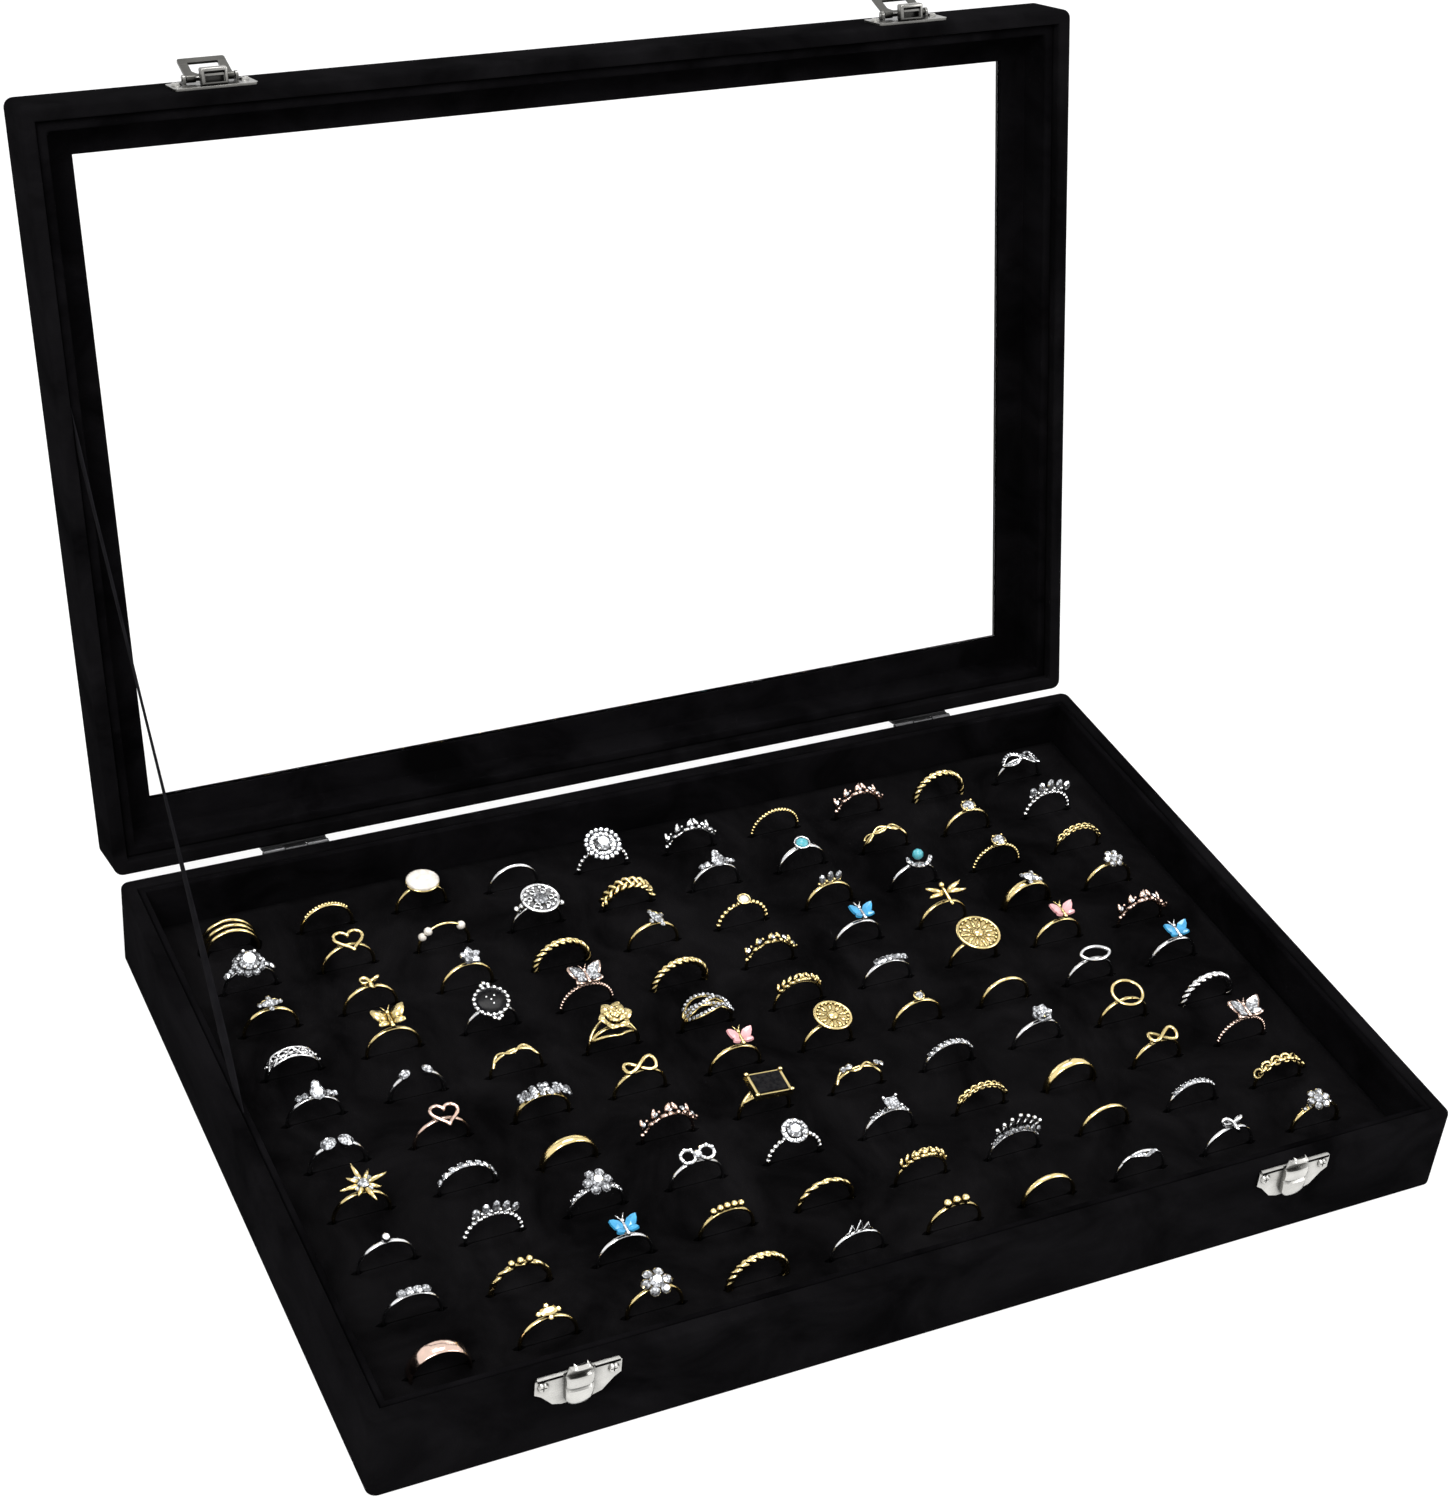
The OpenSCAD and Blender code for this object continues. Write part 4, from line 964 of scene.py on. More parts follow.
def eight_line(long, wide, steps=36):
    points = []
    for i in range(steps):
        t = math.tau * i / steps
        points.append((long * math.sin(t), wide * math.sin(2 * t), 0.5 * math.cos(t)))
    return points


def eye_line(long, wide, steps=24):
    points = []
    for i in range(steps):
        t = math.tau * i / steps
        points.append((long * math.cos(t), wide * math.sin(t) * abs(math.sin(t)) ** 0.35, 0))
    return points


def disc(bm, at, r, thick, kind=METAL, rim=0.0, sides=24, long=1.0, dome=0.0):
    shape = at @ Matrix.Diagonal((1, long, 1, 1))
    made = bmesh.ops.create_cone(bm, cap_ends=True, segments=sides, radius1=r * 0.94, radius2=r,
                                 depth=thick, matrix=shape @ moved(z=thick / 2))["verts"]
    way = (at.to_3x3() @ UP).normalized()
    top = max({f for v in made for f in v.link_faces},
              key=lambda f: f.calc_center_median().dot(way))
    ring = bmesh.ops.inset_individual(bm, faces=[top], thickness=r * 0.12,
                                      depth=dome * 0.4)["faces"]
    bmesh.ops.inset_individual(bm, faces=[top], thickness=r * 0.35, depth=dome * 0.4)
    bmesh.ops.poke(bm, faces=[top], offset=dome * 0.3)
    verts = set(made) | {v for f in ring for v in f.verts}
    for _ in range(4):
        verts |= {w for v in list(verts) for e in v.link_edges for w in e.verts}
    paint(verts, kind)
    if rim:
        outline_wire(bm, at, oval_line(r, r * long, 28, thick), rim)


# ------------------------------------------------------------------ bands of the catalogue

def thin(bm):
    band(bm, 1.5, 1.1)


def plain(bm):
    band(bm, 2.1, 1.2)


def wide(bm):
    band(bm, 3.4, 1.3)


def broad(bm):
    band(bm, 5.2, 1.3, sides=10)


def stack(bm):
    for side in (-2.7, 0, 2.7):
        band(bm, 1.4, 1.2, side=side)


def rope_band(bm):
    rope(bm, 1.1)


def twist_band(bm):
    rope(bm, 0.85, lobes=2, twists=7)


def ridged(bm):
    band(bm, 1.7, 1.1)
    for a in around(40, 140, 15):
        ball(bm, arc(a, -0.25), 0.55)


def beaded(bm, r=0.85, start=8, end=172, kind=METAL):
    band(bm, 1.1, 0.9)
    count = int(math.radians(end - start) * (BORE + 1) / (r * 1.9))
    for a in around(start, end, count):
        ball(bm, arc(a, -0.5), r, kind)


def stones(bm, r=1.0, start=35, end=145, lift=-0.1):
    band(bm, 1.7, 1.1)
    count = int(math.radians(end - start) * (BORE + 1.2) / (r * 2.05))
    for a in around(start, end, count):
        gem(bm, arc(a, lift), r)
        ball(bm, arc(a + 4.6, lift + 0.1, 0.75), 0.24)
        ball(bm, arc(a + 4.6, lift + 0.1, -0.75), 0.24)


def chain(bm):
    band(bm, 1.2, 0.8)
    for i, a in enumerate(around(28, 152, 17)):
        at = arc(a, -0.2) @ moved(roll=35 if i % 2 else -35)
        outline_wire(bm, at, oval_line(1.15, 0.95, 9), 0.36, sides=5)


def chunky(bm):
    band(bm, 1.4, 0.8)
    for i, a in enumerate(around(30, 150, 12)):
        at = arc(a, 0.0) @ moved(roll=28 if i % 2 else -28)
        outline_wire(bm, at, oval_line(1.55, 1.35, 10), 0.5, sides=6)


def braid(bm):
    band(bm, 1.3, 0.7)
    for phase in (0, 120, 240):
        arc_wire(bm, 12, 168, 0.7, steps=72, sides=6,
                 side=lambda a, p=phase: 2.0 * math.sin(math.radians(a * 7 + p)),
                 lift=lambda a, p=phase: 0.3 + 0.6 * math.sin(math.radians(a * 14 + 2 * p)))


def wavy(bm):
    band(bm, 1.2, 0.9)
    arc_wire(bm, 20, 160, 0.55, steps=60, side=lambda a: 1.3 * math.sin(math.radians(a * 6)))


def eyes(bm):
    band(bm, 1.1, 0.8)
    for sign in (-1, 1):
        arc_wire(bm, 22, 158, 0.5, steps=56,
                 side=lambda a, s=sign: s * 1.35 * math.sin(math.radians((a - 22) * 5)))


def lattice(bm):
    """Wide open-work band: two rails with waves between them."""
    for sign in (-1, 1):
        arc_wire(bm, 12, 168, 0.42, steps=40, side=lambda a, s=sign: s * 2.0)
        arc_wire(bm, 14, 166, 0.4, steps=72,
                 side=lambda a, s=sign: s * 1.7 * math.sin(math.radians((a - 14) * 8)))
    band(bm, 1.2, 0.8)
    for a in around(25, 155, 9):
        ball(bm, arc(a, -0.1), 0.5)


def vine(bm, gems=True, spread=1.0):
    """Leaves and buds along a wire."""
    band(bm, 1.2, 0.9)
    for i, a in enumerate(around(28, 152, 10)):
        way = 1 if i % 2 else -1
        at = arc(a, -0.1, way * 0.4) @ moved(turn=(40 if a > 90 else 140) * way, tilt=-24)
        leaf(bm, at, 3.4 * spread, 1.9 * spread)
        if gems and i % 2 == 0:
            gem(bm, arc(a + 5, 0.7, -way * 0.9), 1.0)
        else:
            ball(bm, arc(a + 5, 0.5, -way * 1.0), 0.75)
        ball(bm, arc(a - 4, 0.3, -way * 1.3), 0.55)


def laurel(bm):
    band(bm, 1.2, 0.9)
    for a in around(38, 142, 9):
        for way in (-1, 1):
            turn = (180 - 32) * way if a < 90 else 32 * way
            leaf(bm, arc(a, -0.1, way * 0.2) @ moved(turn=turn, tilt=-18), 2.9, 1.35)


def cuff(bm, gap=38, r=0.75):
    arc_wire(bm, 90 + gap, 450 - gap, r, steps=52, sides=7)


def split_shoulders(bm, spread=3.0):
    """A band that opens into two arms towards the crown."""
    for sign in (-1, 1):
        for start, end in ((90, 8), (90, 172)):
            arc_wire(bm, start, end, 0.62, steps=22,
                     side=lambda a, s=sign: s * spread * max(0, 1 - abs(a - 90) / 62) ** 0.7)
    band(bm, 1.5, 1.0)


def zigzag(bm):
    band(bm, 1.3, 0.9)
    heights = [0, 0, 2.6, -0.6, 3.6, -0.4, 2.2, 0, 0]
    path = [arc(90 + 26 - 52 * i / 8, 0.1 + h).translation.copy() for i, h in enumerate(heights)]
    wire(bm, path, 0.42, sides=6)


def chevron(bm, gems=True):
    band(bm, 1.2, 0.9)
    def side(a):
        return -2.6 * max(0, 1 - abs(a - 90) / 34)
    arc_wire(bm, 38, 142, 0.6, steps=41, side=side)
    if gems:
        for a in around(64, 116, 9):
            gem(bm, arc(a, 0.1, side(a)), 0.62, cup=False)


def crossing(bm, rows=4):
    """Fine rows of stones that cross the band in a slant."""
    band(bm, 1.6, 0.9)
    for k in range(rows):
        start = (k - (rows - 1) / 2) * 2.3
        def side(a, s=start, k=k):
            near = max(0.0, math.cos(math.radians((a - 90) * 1.25)))
            return s * near + (1.5 if k % 2 else -1.5) * math.sin(math.radians((a - 90) * 2.2))
        arc_wire(bm, 20, 160, 0.62, steps=44, side=side)
        for a in around(36, 144, 14):
            gem(bm, arc(a, 0.35, side(a)), 0.66, cup=False, sides=6)


def infinity_band(bm):
    band(bm, 1.3, 0.9)
    for sign in (-1, 1):
        arc_wire(bm, 40, 140, 0.55, steps=44,
                 side=lambda a, s=sign: s * 2.6 * math.sin(math.radians((a - 40) * 180 / 50)),
                 lift=lambda a: 0.5)
        for a in around(46, 134, 16):
            gem(bm, arc(a, 0.75, sign * 2.6 * math.sin(math.radians((a - 40) * 180 / 50))), 0.55,
                cup=False, sides=6)


# ------------------------------------------------------------------ crowns of the catalogue

def oval_disc(bm, kind=PALE, r=3.7, long=0.86, lean=8):
    disc(bm, arc(90, -0.1, lean=lean), r, 0.9, kind=kind, rim=0.0, long=long, dome=0.7)
    disc(bm, arc(90, -0.5, lean=lean), r * 1.04, 0.9, long=long)


def halo(bm, r=2.0, small=0.6, lean=18, beads=False, double=False):
    at = arc(90, 0.6, lean=lean)
    disc(bm, at @ moved(z=-0.9), r + small * 1.8, 0.6)
    gem(bm, at, r, sides=10)
    claws(bm, at, r)
    for ring in range(2 if double else 1):
        reach = r + small * (1 + 1.9 * ring)
        total = int(math.tau * reach / (small * 2.05))
        for _, x, y in round_about(total, reach):
            spot = at @ moved(x, y, -0.3)
            if beads:
                ball(bm, spot, small * 0.85)
            else:
                gem(bm, spot, small, sides=6, cup=False)


def big_cluster(bm):
    at = arc(90, 1.6, lean=16)
    gem(bm, at, 3.0, sides=12)
    claws(bm, at, 3.0, 6)
    for a, x, y in round_about(10, 3.7, 3.2):
        gem(bm, at @ moved(x, y, -1.3, turn=math.degrees(a), tilt=38), 1.15)
    for a in (48, 58, 122, 132):
        gem(bm, arc(a, 0.3), 1.05)


def cluster(bm, kind=GEM, lean=14, size=1.0):
    at = arc(90, 0.9, lean=lean)
    gem(bm, at, 1.35 * size, kind)
    for a, x, y in round_about(6, 2.0 * size):
        gem(bm, at @ moved(x, y, -0.3, turn=math.degrees(a), tilt=20), 0.95 * size, kind)
    ball(bm, arc(90, 0), 1.3)


def solitaire(bm, r=1.5, kind=GEM, lift=0.8, collar=True):
    at = arc(90, lift, lean=8)
    gem(bm, at, r, kind, sides=10)
    claws(bm, at, r)
    if collar:
        outline_wire(bm, at @ moved(z=-0.25), oval_line(r * 1.05, r * 1.05, 14), 0.26, sides=5)


def cabochon(bm, kind=AQUA, r=1.9, long=1.0, lean=10):
    at = arc(90, 0.2, lean=lean)
    disc(bm, at @ moved(z=-0.3), r * 1.12, 0.8, long=long, rim=0.28, sides=18)
    ball(bm, at @ moved(z=0.35) @ Matrix.Diagonal((1, long, 1, 1)), r, kind, squash=0.55)


def pear(bm, r=1.6, kind=GEM):
    at = arc(90, 0.9, lean=18)
    gem(bm, at @ moved(y=-0.5), r, kind, long=1.0)
    gem(bm, at @ moved(y=0.9, z=0.02), r * 0.62, kind, long=1.5)
    for a in (67, 75, 105, 113):
        gem(bm, arc(a, 0.25), 0.75)


def side_gems(bm, angles=(62, 70, 110, 118), r=0.75):
    for a in angles:
        gem(bm, arc(a, 0.2), r)


def marquise(bm, turn=90, kind=GEM, lean=10):
    at = arc(90, 0.9, lean=lean) @ moved(turn=turn)
    gem(bm, at, 1.05, kind, long=1.9)
    for spot in ((0, 2.1), (0, -2.1), (1.4, 0), (-1.4, 0)):
        gem(bm, at @ moved(*spot, -0.2), 0.6, kind, sides=6)


def petals(bm, kind=GEM, count=5, long=2.6, wide=1.9, lean=10, heart=True):
    at = arc(90, 0.5, lean=lean)
    for i in range(count):
        leaf(bm, at @ moved(turn=360 / count * i + 18, tilt=-16), long, wide, kind, thick=0.6)
    if heart:
        gem(bm, at @ moved(z=0.9), 0.95)


def butterfly(bm, kind, size=1.0, lean=6, gems=False):
    """Four wings, lifted a little, with a narrow body between them."""
    at = arc(90, 0.5, lean=lean)
    for sign in (-1, 1):
        for turn, long, wide in ((38, 4.4, 2.7), (-32, 3.2, 2.0)):
            angle = turn if sign > 0 else 180 - turn
            spot = at @ moved(sign * 0.35, 0, 0.4, turn=angle, tilt=-24)
            leaf(bm, spot, long * size, wide * size, kind, thick=0.5, puff=0.25)
            if gems:
                leaf(bm, spot @ moved(z=-0.35), long * size * 1.1, wide * size * 1.18, METAL,
                     thick=0.4, puff=0)
    wire(bm, [at @ Vector((0, y, 0.9)) for y in (-1.7, -0.6, 0.6, 1.7)], 0.42)
    ball(bm, at @ moved(y=1.8, z=1.0), 0.55)
    for sign in (-1, 1):
        feeler = [(sign * k * 0.7, 1.9 + k * 1.1, 1.0 + 0.3 * k) for k in (0, 0.6, 1.2)]
        wire(bm, [at @ Vector(p) for p in feeler], 0.14, sides=4)


def dragonfly(bm, lean=12):
    at = arc(90, 0.6, lean=lean)
    for sign in (-1, 1):
        for turn in (22, -14):
            angle = turn if sign > 0 else 180 - turn
            leaf(bm, at @ moved(sign * 0.3, 0.6, 0.5, turn=angle, tilt=-10), 4.6, 1.3)
    wire(bm, [at @ Vector((0, 2.4 - k, 0.8)) for k in (0, 1.2, 2.4, 3.8, 5.6)], 0.42)
    ball(bm, at @ moved(y=2.6, z=0.9), 0.75)


def outline_crown(bm, points, r=0.42, lean=6, lift=0.6):
    outline_wire(bm, arc(90, lift, lean=lean), points, r)


def knot(bm, size=1.5):
    points = []
    for i in range(36):
        t = math.tau * i / 36
        points.append((size * (math.sin(t) + 0.9 * math.sin(2 * t)) * 0.75,
                       size * (math.cos(t) - 0.9 * math.cos(2 * t)) * 0.62, 0.5 * math.sin(3 * t)))
    outline_wire(bm, arc(90, 0.4, lean=10), points, 0.45)


def tiara(bm, count=5, kind=GEM):
    """Pointed stones that stand side by side, tallest in the middle."""
    middle = (count - 1) / 2
    for i in range(count):
        a = 90 + (i - middle) * 11.5
        tall = 1.75 - 0.28 * abs(i - middle)
        at = arc(a, 1.0) @ moved(roll=90 - 12)
        gem(bm, at, 0.82, kind, long=tall)
        ball(bm, arc(a + 5.7, 0.1), 0.42)


def crown_points(bm):
    for i in range(7):
        a = 90 + (i - 3) * 9
        tall = 3.0 - 0.5 * abs(i - 3)
        point = [arc(b, high).translation for b, high in ((a - 4.5, 0), (a, tall), (a + 4.5, 0))]
        wire(bm, point, 0.32, sides=5)
        ball(bm, arc(a, tall + 0.2), 0.5)
        gem(bm, arc(a, 0.5, -0.9) @ moved(roll=70), 0.6, cup=False, sides=6)


def crescent(bm):
    at = arc(90, 1.4, lean=30)
    points = [(3.1 * math.cos(math.radians(a)), 3.1 * math.sin(math.radians(a)) + 0.6, 0)
              for a in around(200, 340, 14)]
    wire(bm, [at @ Vector(p) for p in points], 0.62)
    for p in points[::2]:
        gem(bm, at @ moved(p[0], p[1], 0.55), 0.5, cup=False, sides=6)
    ball(bm, at @ moved(y=0.4, z=0.2), 1.35, AQUA)


def bow(bm):
    at = arc(90, 0.7, lean=18)
    for sign in (-1, 1):
        points = [(sign * (0.5 + 1.5 * (1 - math.cos(t))), 1.5 * math.sin(t), 0.2)
                  for t in [math.tau * k / 14 for k in range(14)]]
        outline_wire(bm, at, points, 0.42)
        for p in points[::2]:
            gem(bm, at @ moved(*p[:2], 0.6), 0.42, cup=False, sides=6)
    gem(bm, at @ moved(z=0.6), 0.9)


def starburst(bm, lean=6):
    at = arc(90, 0.7, lean=lean)
    for i in range(8):
        leaf(bm, at @ moved(turn=45 * i + 12, tilt=-8), 4.4 if i % 2 == 0 else 3.0, 0.95, thick=0.4)
    gem(bm, at @ moved(z=0.7), 1.0)
    for _, x, y in round_about(4, 1.5, start=35):
        gem(bm, at @ moved(x, y, 0.6), 0.5, cup=False, sides=6)


def rose(bm, kind=METAL, size=1.0, lean=10):
    at = arc(90, 0.6, lean=lean)
    for ring, (count, reach, tilt) in enumerate(((6, 3.5, -22), (5, 2.6, -42), (3, 1.7, -60))):
        for i in range(count):
            leaf(bm, at @ moved(z=0.3 * ring, turn=360 / count * i + 25 * ring, tilt=tilt),
                 reach * size, reach * 0.95 * size, kind, thick=0.35, puff=0.25)
    ball(bm, at @ moved(z=1.2), 0.9 * size, kind)


def coin(bm, r=4.7, lean=8, rays=12):
    """A plain medal: a raised rim, a ring of small rays and a domed middle."""
    at = arc(90, 0.3, lean=lean)
    disc(bm, at, r, 0.8, rim=0.4)
    for i in range(rays):
        leaf(bm, at @ moved(turn=360 / rays * i, z=0.75) @ moved(x=1.5), r * 0.55, 0.9,
             thick=0.2, puff=0.15)
    ball(bm, at @ moved(z=0.8), 1.4, squash=0.45)
    for _, x, y in round_about(20, r * 0.86):
        ball(bm, at @ moved(x, y, 0.9), 0.34)


def signet(bm, kind=DARK, half=2.9, lean=6):
    at = arc(90, 0.2, lean=lean) @ Matrix.Diagonal((1.3, 1, 1, 1))
    for size, low, thick, k in ((half * 1.12, -0.4, 1.2, METAL), (half * 0.92, 0.6, 0.5, kind)):
        made = bmesh.ops.create_cone(
            bm, cap_ends=True, segments=4, radius1=size * 1.414, radius2=size * 1.32, depth=thick,
            matrix=at @ moved(z=low + thick / 2, turn=45))["verts"]
        paint(made, k, smooth=False)
    for _, x, y in round_about(4, half * 1.45, start=45):
        ball(bm, at @ moved(x, y, 0.9), 0.45)


def square_stone(bm, half=1.6):
    at = arc(90, 1.0, lean=8)
    gem(bm, at @ moved(turn=45), half * 1.3, sides=4)
    claws(bm, at, half * 1.25)


def filigree(bm, dark=False):
    at = arc(90, 0.4, lean=10)
    disc(bm, at @ moved(z=-0.3), 4.1, 0.6, rim=0.4, long=0.95)
    gem(bm, at @ moved(z=0.5), 1.7, DARK if dark else GEM, sides=10)
    for _, x, y in round_about(14, 3.5, 3.0):
        ball(bm, at @ moved(x, y, 0.45), 0.45)
    for _, x, y in round_about(6, 2.5, 2.2):
        outline_wire(bm, at @ moved(x, y, 0.45), oval_line(0.6, 0.6, 8), 0.2, sides=4)
    for a in (56, 64, 116, 124):
        ball(bm, arc(a, 0), 0.85)


def dark_disc(bm):
    at = arc(90, 0.5, lean=10)
    disc(bm, at @ moved(z=-0.3), 3.9, 0.7)
    disc(bm, at @ moved(z=0.1), 3.2, 0.6, kind=DARK, dome=0.3)
    for _, x, y in round_about(18, 3.6):
        ball(bm, at @ moved(x, y, 0.5), 0.5)
    for x, y in ((0, 0), (0.9, 0.8), (-0.8, 0.9), (0.2, -1.1)):
        ball(bm, at @ moved(x, y, 0.95), 0.28)
    for sign in (-1, 1):
        for k in range(3):
            ball(bm, at @ moved(0.75 * (k - 1), sign * (4.3 + 0.5 * (k == 1)), 0.3), 0.55)


def beads_on_top(bm, count=3, r=0.9, kind=METAL, step=11):
    for i in range(count):
        ball(bm, arc(90 + (i - (count - 1) / 2) * step, 0.25), r, kind)


def cuff_ends(bm, kind=PALE, r=1.5, gap=38, extra=False):
    for sign in (-1, 1):
        if kind == GEM:
            gem(bm, arc(90 + sign * (gap - 4), 0.4), r, sides=10)
            ball(bm, arc(90 + sign * (gap - 2), -0.6), r * 0.8)
        else:
            ball(bm, arc(90 + sign * gap, -0.5), r, kind)
    if extra:
        ball(bm, arc(90 + gap + 17, -0.3), r * 0.95, kind)
        arc_wire(bm, 90 - gap, 90 + gap, 0.5, steps=18)


def pave_patch(bm, kind=GEM):
    """A heap of small stones over the crown."""
    spots = random.Random(5)
    for a in around(58, 122, 8):
        for side in (-1.3, 0, 1.3):
            high = 0.25 + 0.5 * math.cos(math.radians((a - 90) * 2))
            at = arc(a + spots.uniform(-2, 2), high, side * (1 - abs(a - 90) / 60))
            gem(bm, at, spots.uniform(0.6, 0.95), kind, sides=6, cup=False)


# ------------------------------------------------------------------ the hundred rings
# Back row first, left to right: metal, band, crown

def later(make, *args, **kwargs):
    return lambda bm: make(bm, *args, **kwargs)


def sized(size, tip, make, *args, **kwargs):
    """A crown with its own size and forward tip, in place of the usual ones."""
    drawn = later(make, *args, **kwargs)
    drawn.size, drawn.tip = size, tip
    return drawn


def crown_on(bm, crown):
    """Draws a crown, then enlarges it about its seat and tips it to the front."""
    band_verts = set(bm.verts)
    crown(bm)
    seat = arc(90, -1.0)
    turn = Matrix.Rotation(math.radians(getattr(crown, "tip", 0)), 4, "X")
    grow = Matrix.Scale(getattr(crown, "size", 1.5), 4)
    bmesh.ops.transform(bm, matrix=seat @ turn @ grow @ seat.inverted(),
                        verts=[v for v in bm.verts if v not in band_verts])


CATALOGUE = [
    [("gold", stack, None), ("gold", ridged, None), ("gold", thin, oval_disc),
     ("silver", thin, None), ("silver", beaded, later(halo, double=True)), ("silver", vine, None),
     ("gold", later(beaded, r=0.62), None), ("rose", vine, None), ("gold", rope_band, None),
     ("silver", infinity_band, None)],
    [("silver", thin, sized(1.15, 0, big_cluster)),
     ("gold", thin, later(outline_crown, heart_line(3.2))),
     ("gold", later(cuff, gap=40, r=0.6), sized(1, 0, cuff_ends, PALE, 1.5, gap=40, extra=True)),
     ("silver", thin, filigree), ("gold", braid, None), ("silver", thin, pear),
     ("silver", plain, sized(1.2, 0, cabochon)), ("gold", eyes, None), ("gold", thin, solitaire),
     ("silver", beaded, sized(1.7, 0, tiara))],
    [("gold", thin, marquise), ("gold", thin, knot), ("gold", thin, later(petals, count=5)),
     ("gold", rope_band, None), ("gold", thin, later(marquise, 25)),
     ("gold", beaded, sized(1.2, 0, cabochon, PALE, 1.5)), ("gold", thin, later(tiara, 3)),
     ("silver", thin, crescent), ("gold", later(beaded, r=0.62), solitaire),
     ("gold", chain, None)],
    [("silver", lattice, None), ("gold", thin, sized(1.7, 0, butterfly, METAL, 0.9)),
     ("silver", thin, dark_disc),
     ("rose", later(beaded, r=0.6), later(butterfly, GEM, 0.95, gems=True)),
     ("gold", rope_band, None), ("gold", later(vine, spread=0.8), None),
     ("silver", thin, later(butterfly, SKY, 0.8)), ("gold", thin, sized(1.5, 0, dragonfly)),
     ("gold", wide, later(marquise, 60)), ("gold", thin, later(cluster, size=0.85))],
    [("silver", thin, pear),
     ("silver", later(cuff, gap=26), sized(1, 0, cuff_ends, GEM, 1.8, gap=26)),
     ("gold", wavy, None), ("gold", later(split_shoulders, 4.6), sized(1.75, 0, rose)),
     ("gold", crossing, None), ("gold", laurel, None),
     ("silver", thin, later(side_gems, (66, 74, 82, 90, 98, 106), 0.85)), ("gold", thin, coin),
     ("gold", thin, later(butterfly, ROSY, 0.8)), ("rose", vine, None)],
    [("silver", later(cuff, gap=20), sized(1, 0, cuff_ends, GEM, 2.4, gap=20)),
     ("rose", thin, later(outline_crown, heart_line(2.9))), ("gold", plain, pave_patch),
     ("gold", thin, later(outline_crown, eight_line(3.4, 1.5), 0.45)),
     ("gold", thin, later(butterfly, ROSY, 0.8)), ("gold", thin, later(coin, 3.9, 8, 9)),
     ("gold", thin, later(solitaire, 1.0)), ("gold", thin, None),
     ("silver", thin, later(outline_crown, eye_line(3.6, 2.0), 0.42)),
     ("silver", thin, later(butterfly, SKY, 0.8))],
    [("gold", thin, sized(1.8, 0, starburst)), ("silver", later(stones, 1.1, 20, 160), None),
     ("gold", wide, None), ("rose", vine, None), ("gold", later(split_shoulders, 2.2), signet),
     ("gold", wavy, later(side_gems)), ("silver", later(stones, 0.95), None),
     ("silver", thin, later(rose, GEM, 0.75)),
     ("gold", thin, later(outline_crown, oval_line(3.4, 3.4, 26), 0.4, 10, 0.9)),
     ("silver", rope_band, None)],
    [("silver", thin, later(beads_on_top, 1, 1.0)), ("silver", beaded, tiara),
     ("silver", later(stones, 0.8), later(cluster, size=1.05)), ("silver", thin, bow),
     ("silver", beaded, later(halo, 1.7, 0.6)),
     ("silver", later(stones, 0.75, 50, 130), square_stone), ("gold", chain, None),
     ("gold", wide, None), ("gold", thin, later(outline_crown, eight_line(3.3, 1.4), 0.45)),
     ("rose", later(beaded, r=0.6), later(butterfly, GEM, 0.95, gems=True))],
    [("silver", thin, later(side_gems, (74, 84, 94, 104), 0.95)),
     ("gold", twist_band, later(beads_on_top, 3, 0.8)),
     ("silver", thin, later(butterfly, SKY, 0.8)),
     ("gold", thin, later(beads_on_top, 5, 0.8, step=9)), ("gold", later(rope, 0.8, 2, 8), None),
     ("gold", laurel, later(beads_on_top, 3, 0.7)), ("silver", later(stones, 0.7), crown_points),
     ("gold", thin, None), ("silver", later(stones, 0.75, 40, 140), None), ("gold", chunky, None)],
    [("rose", broad, None), ("gold", thin, sized(1.4, 0, marquise, 90, METAL)),
     ("gold", thin, later(cluster, size=1.1)), ("gold", rope_band, None), ("silver", zigzag, None),
     ("gold", thin, later(beads_on_top, 3, 1.0, step=12)), ("gold", plain, None),
     ("silver", chevron, None), ("silver", thin, later(knot, 1.7)),
     ("gold", later(stones, 0.7, 60, 120), later(cluster, size=0.9))],
]

METALS = {"gold": (GOLD, "ring_gold"), "silver": (SILVER, "ring_silver"),
          "rose": (ROSE_GOLD, "ring_rose_gold")}


def ring_rows():
    for row, rings in enumerate(CATALOGUE):
        by_metal = {}
        for column, (metal, body, crown) in enumerate(rings):
            bm = bmesh.new()
            body(bm)
            if crown:
                crown_on(bm, crown)
            bmesh.ops.recalc_face_normals(bm, faces=bm.faces)
            sway = moved(turn=rng.uniform(-1.5, 1.5), tilt=rng.uniform(-5, 5),
                         roll=rng.uniform(-2, 2))
            place = Matrix.Translation((slit_x(column), slit_y(row), RING_Z)) @ sway
            bmesh.ops.transform(bm, matrix=place, verts=bm.verts)
            mesh = bpy.data.meshes.new("ring")
            bm.to_mesh(mesh)
            bm.free()
            by_metal.setdefault(metal, bmesh.new()).from_mesh(mesh)
            bpy.data.meshes.remove(mesh)
        for metal, bm in by_metal.items():
            material, slot = METALS[metal]
            finish("%s_rings_row_%02d" % (metal, row + 1), bm, "case", slot, [material] + TRIMS,
                   ["rings_row_%02d" % (row + 1)], smooth=0)


# ------------------------------------------------------------------ studio

def seen_directly(nodes, links):
    """1 for camera, mirror and glass rays, 0 for the light that falls on things."""
    path = nodes.new("ShaderNodeLightPath")
    first = nodes.new("ShaderNodeMath")
    first.operation = "ADD"
    links.new(path.outputs["Is Camera Ray"], first.inputs[0])
    links.new(path.outputs["Is Glossy Ray"], first.inputs[1])
    both = nodes.new("ShaderNodeMath")
    both.operation = "ADD"
    both.use_clamp = True
    links.new(first.outputs[0], both.inputs[0])
    links.new(path.outputs["Is Transmission Ray"], both.inputs[1])
    return both.outputs[0]


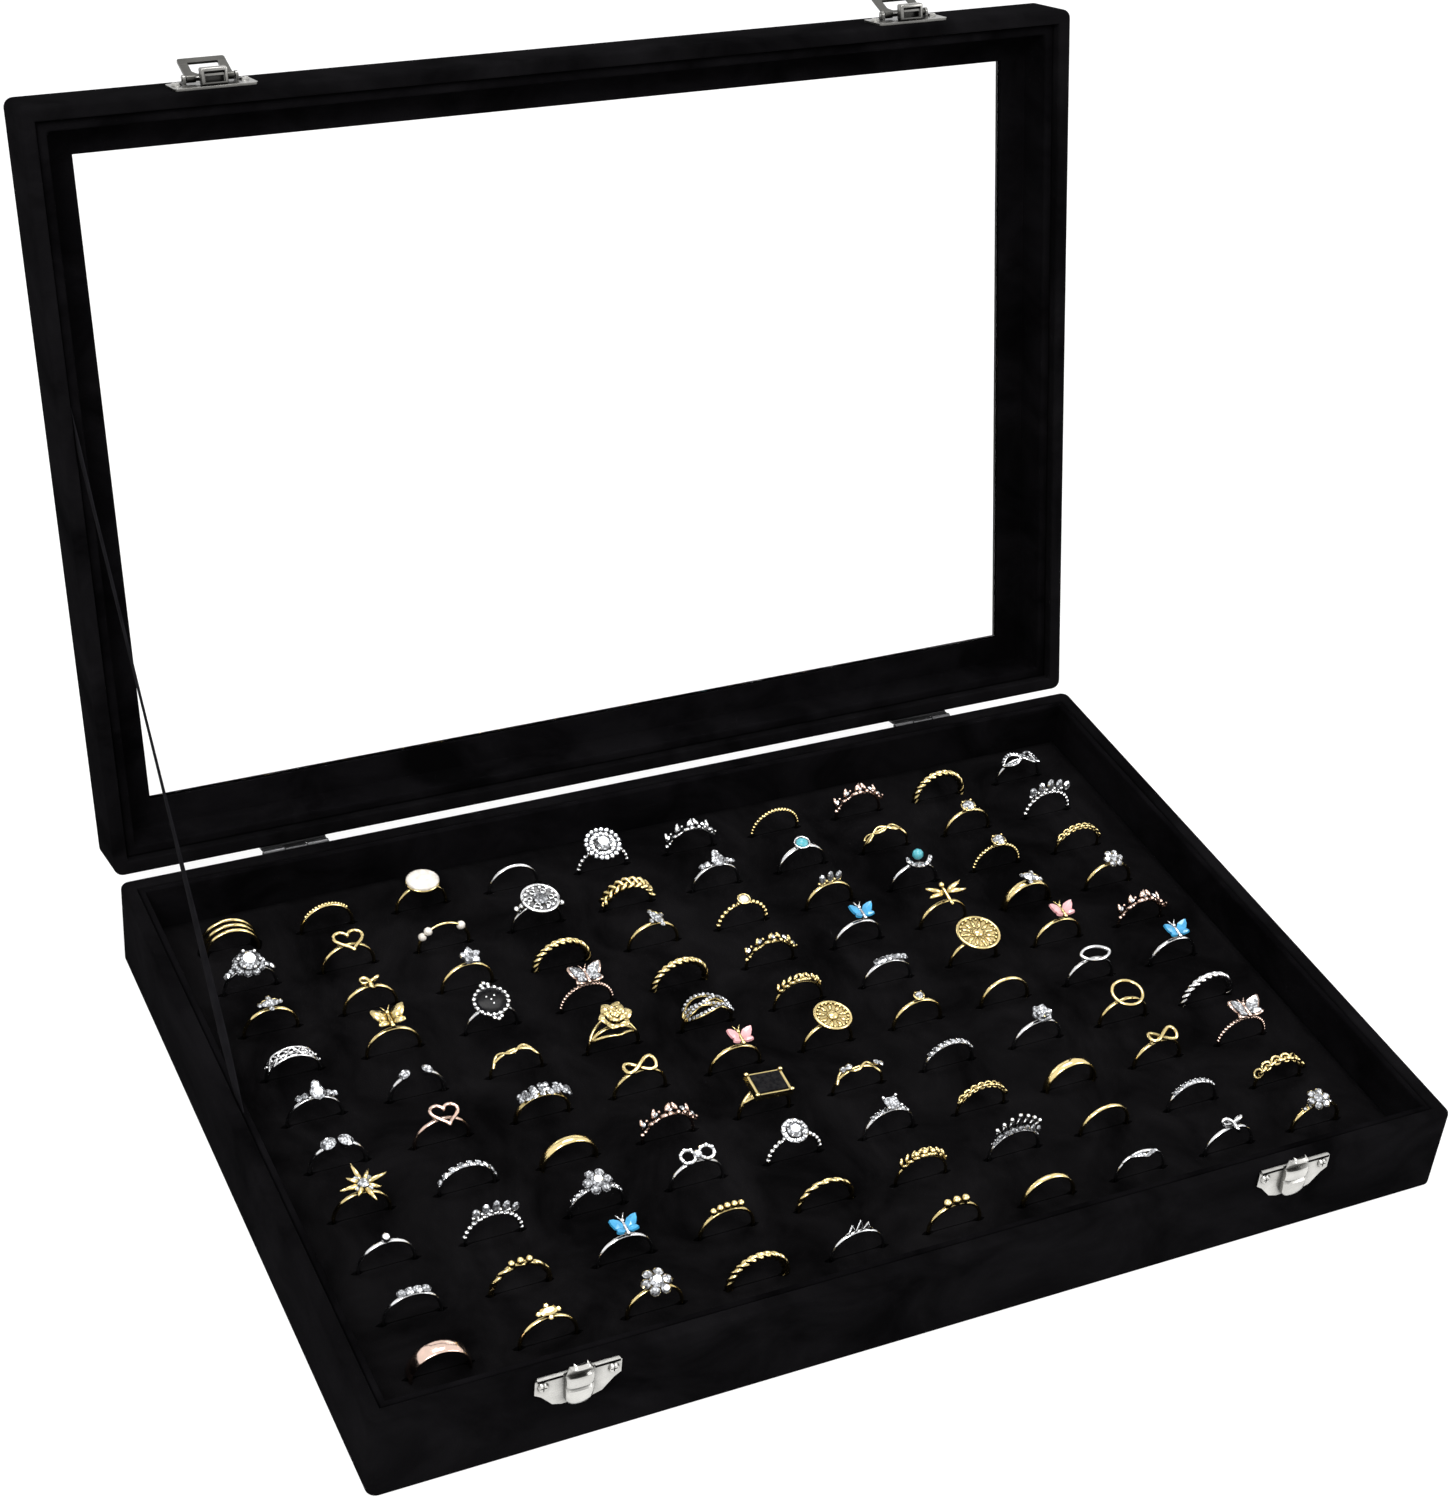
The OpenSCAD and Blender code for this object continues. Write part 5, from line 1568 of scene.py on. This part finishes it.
def studio():
    scene = bpy.context.scene
    scene.view_settings.view_transform = "Standard"
    world = bpy.data.worlds.new("studio")
    scene.world = world
    world.use_nodes = True
    nodes, links = world.node_tree.nodes, world.node_tree.links
    sky = nodes["Background"]
    sky.inputs["Color"].default_value = (1, 1, 1, 1)
    level = nodes.new("ShaderNodeMapRange")
    level.inputs["To Min"].default_value = 0.45
    level.inputs["To Max"].default_value = 1.0
    links.new(seen_directly(nodes, links), level.inputs["Value"])
    links.new(level.outputs["Result"], sky.inputs["Strength"])

    floor_material = bpy.data.materials.new("studio_floor")
    floor_material.use_nodes = True
    nodes, links = floor_material.node_tree.nodes, floor_material.node_tree.links
    nodes.clear()
    paper = nodes.new("ShaderNodeBsdfDiffuse")
    paper.inputs["Color"].default_value = (0.86, 0.86, 0.86, 1)
    shade = nodes.new("ShaderNodeBsdfDiffuse")
    shade.inputs["Color"].default_value = (0.30, 0.30, 0.30, 1)
    glow = nodes.new("ShaderNodeEmission")
    glow.inputs["Strength"].default_value = 0.80
    add = nodes.new("ShaderNodeAddShader")
    mix = nodes.new("ShaderNodeMixShader")
    out = nodes.new("ShaderNodeOutputMaterial")
    links.new(shade.outputs[0], add.inputs[0])
    links.new(glow.outputs[0], add.inputs[1])
    links.new(seen_directly(nodes, links), mix.inputs[0])
    links.new(paper.outputs[0], mix.inputs[1])
    links.new(add.outputs[0], mix.inputs[2])
    links.new(mix.outputs[0], out.inputs["Surface"])
    bm = bmesh.new()
    bmesh.ops.create_grid(bm, x_segments=2, y_segments=2, size=6)
    mesh = bpy.data.meshes.new("floor")
    bm.to_mesh(mesh)
    bm.free()
    mesh.materials.append(floor_material)
    floor = bpy.data.objects.new("floor", mesh)
    floor.location.z = -0.0002
    bpy.context.collection.objects.link(floor)

    def soft_box(name, at, aim, size, watts):
        data = bpy.data.lights.new(name, "AREA")
        data.shape = "RECTANGLE"
        data.size, data.size_y = size
        data.energy = watts
        lamp = bpy.data.objects.new(name, data)
        lamp.location = at
        lamp.rotation_euler = (Vector(aim) - Vector(at)).to_track_quat("-Z", "Y").to_euler()
        bpy.context.collection.objects.link(lamp)

    soft_box("key_softbox", (-0.9, -1.0, 1.5), (0, 0, 0.05), (0.7, 0.7), 26)
    soft_box("fill_softbox", (1.3, -0.8, 1.1), (0, 0, 0.08), (0.9, 0.9), 14)
    soft_box("top_softbox", (0.1, 0.5, 1.7), (0, 0, 0.05), (1.0, 0.5), 14)


# ------------------------------------------------------------------ the whole box

set_camera()
studio()

stay = ribbon()
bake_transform(stay)

tray_velvet()
tray_liner()
lid_velvet()
lid_liner()
underside_felt()
ring_pad([["stack" if body is stack else "slim" for _, body, _ in rings] for rings in CATALOGUE])
hardware()
ring_rows()

for node in ("floor_board", "front_board", "right_board", "back_board", "left_board",
             "lid_front_rail", "lid_right_rail", "lid_back_rail", "lid_left_rail"):
    dress_node(node, WOOD)
dress_node("pad_card", CARD)
dress_node("glass_pane", GLASS)
for node in ("ribbon_tray_tack", "ribbon_lid_tack"):
    dress_node(node, HINGE_STEEL)
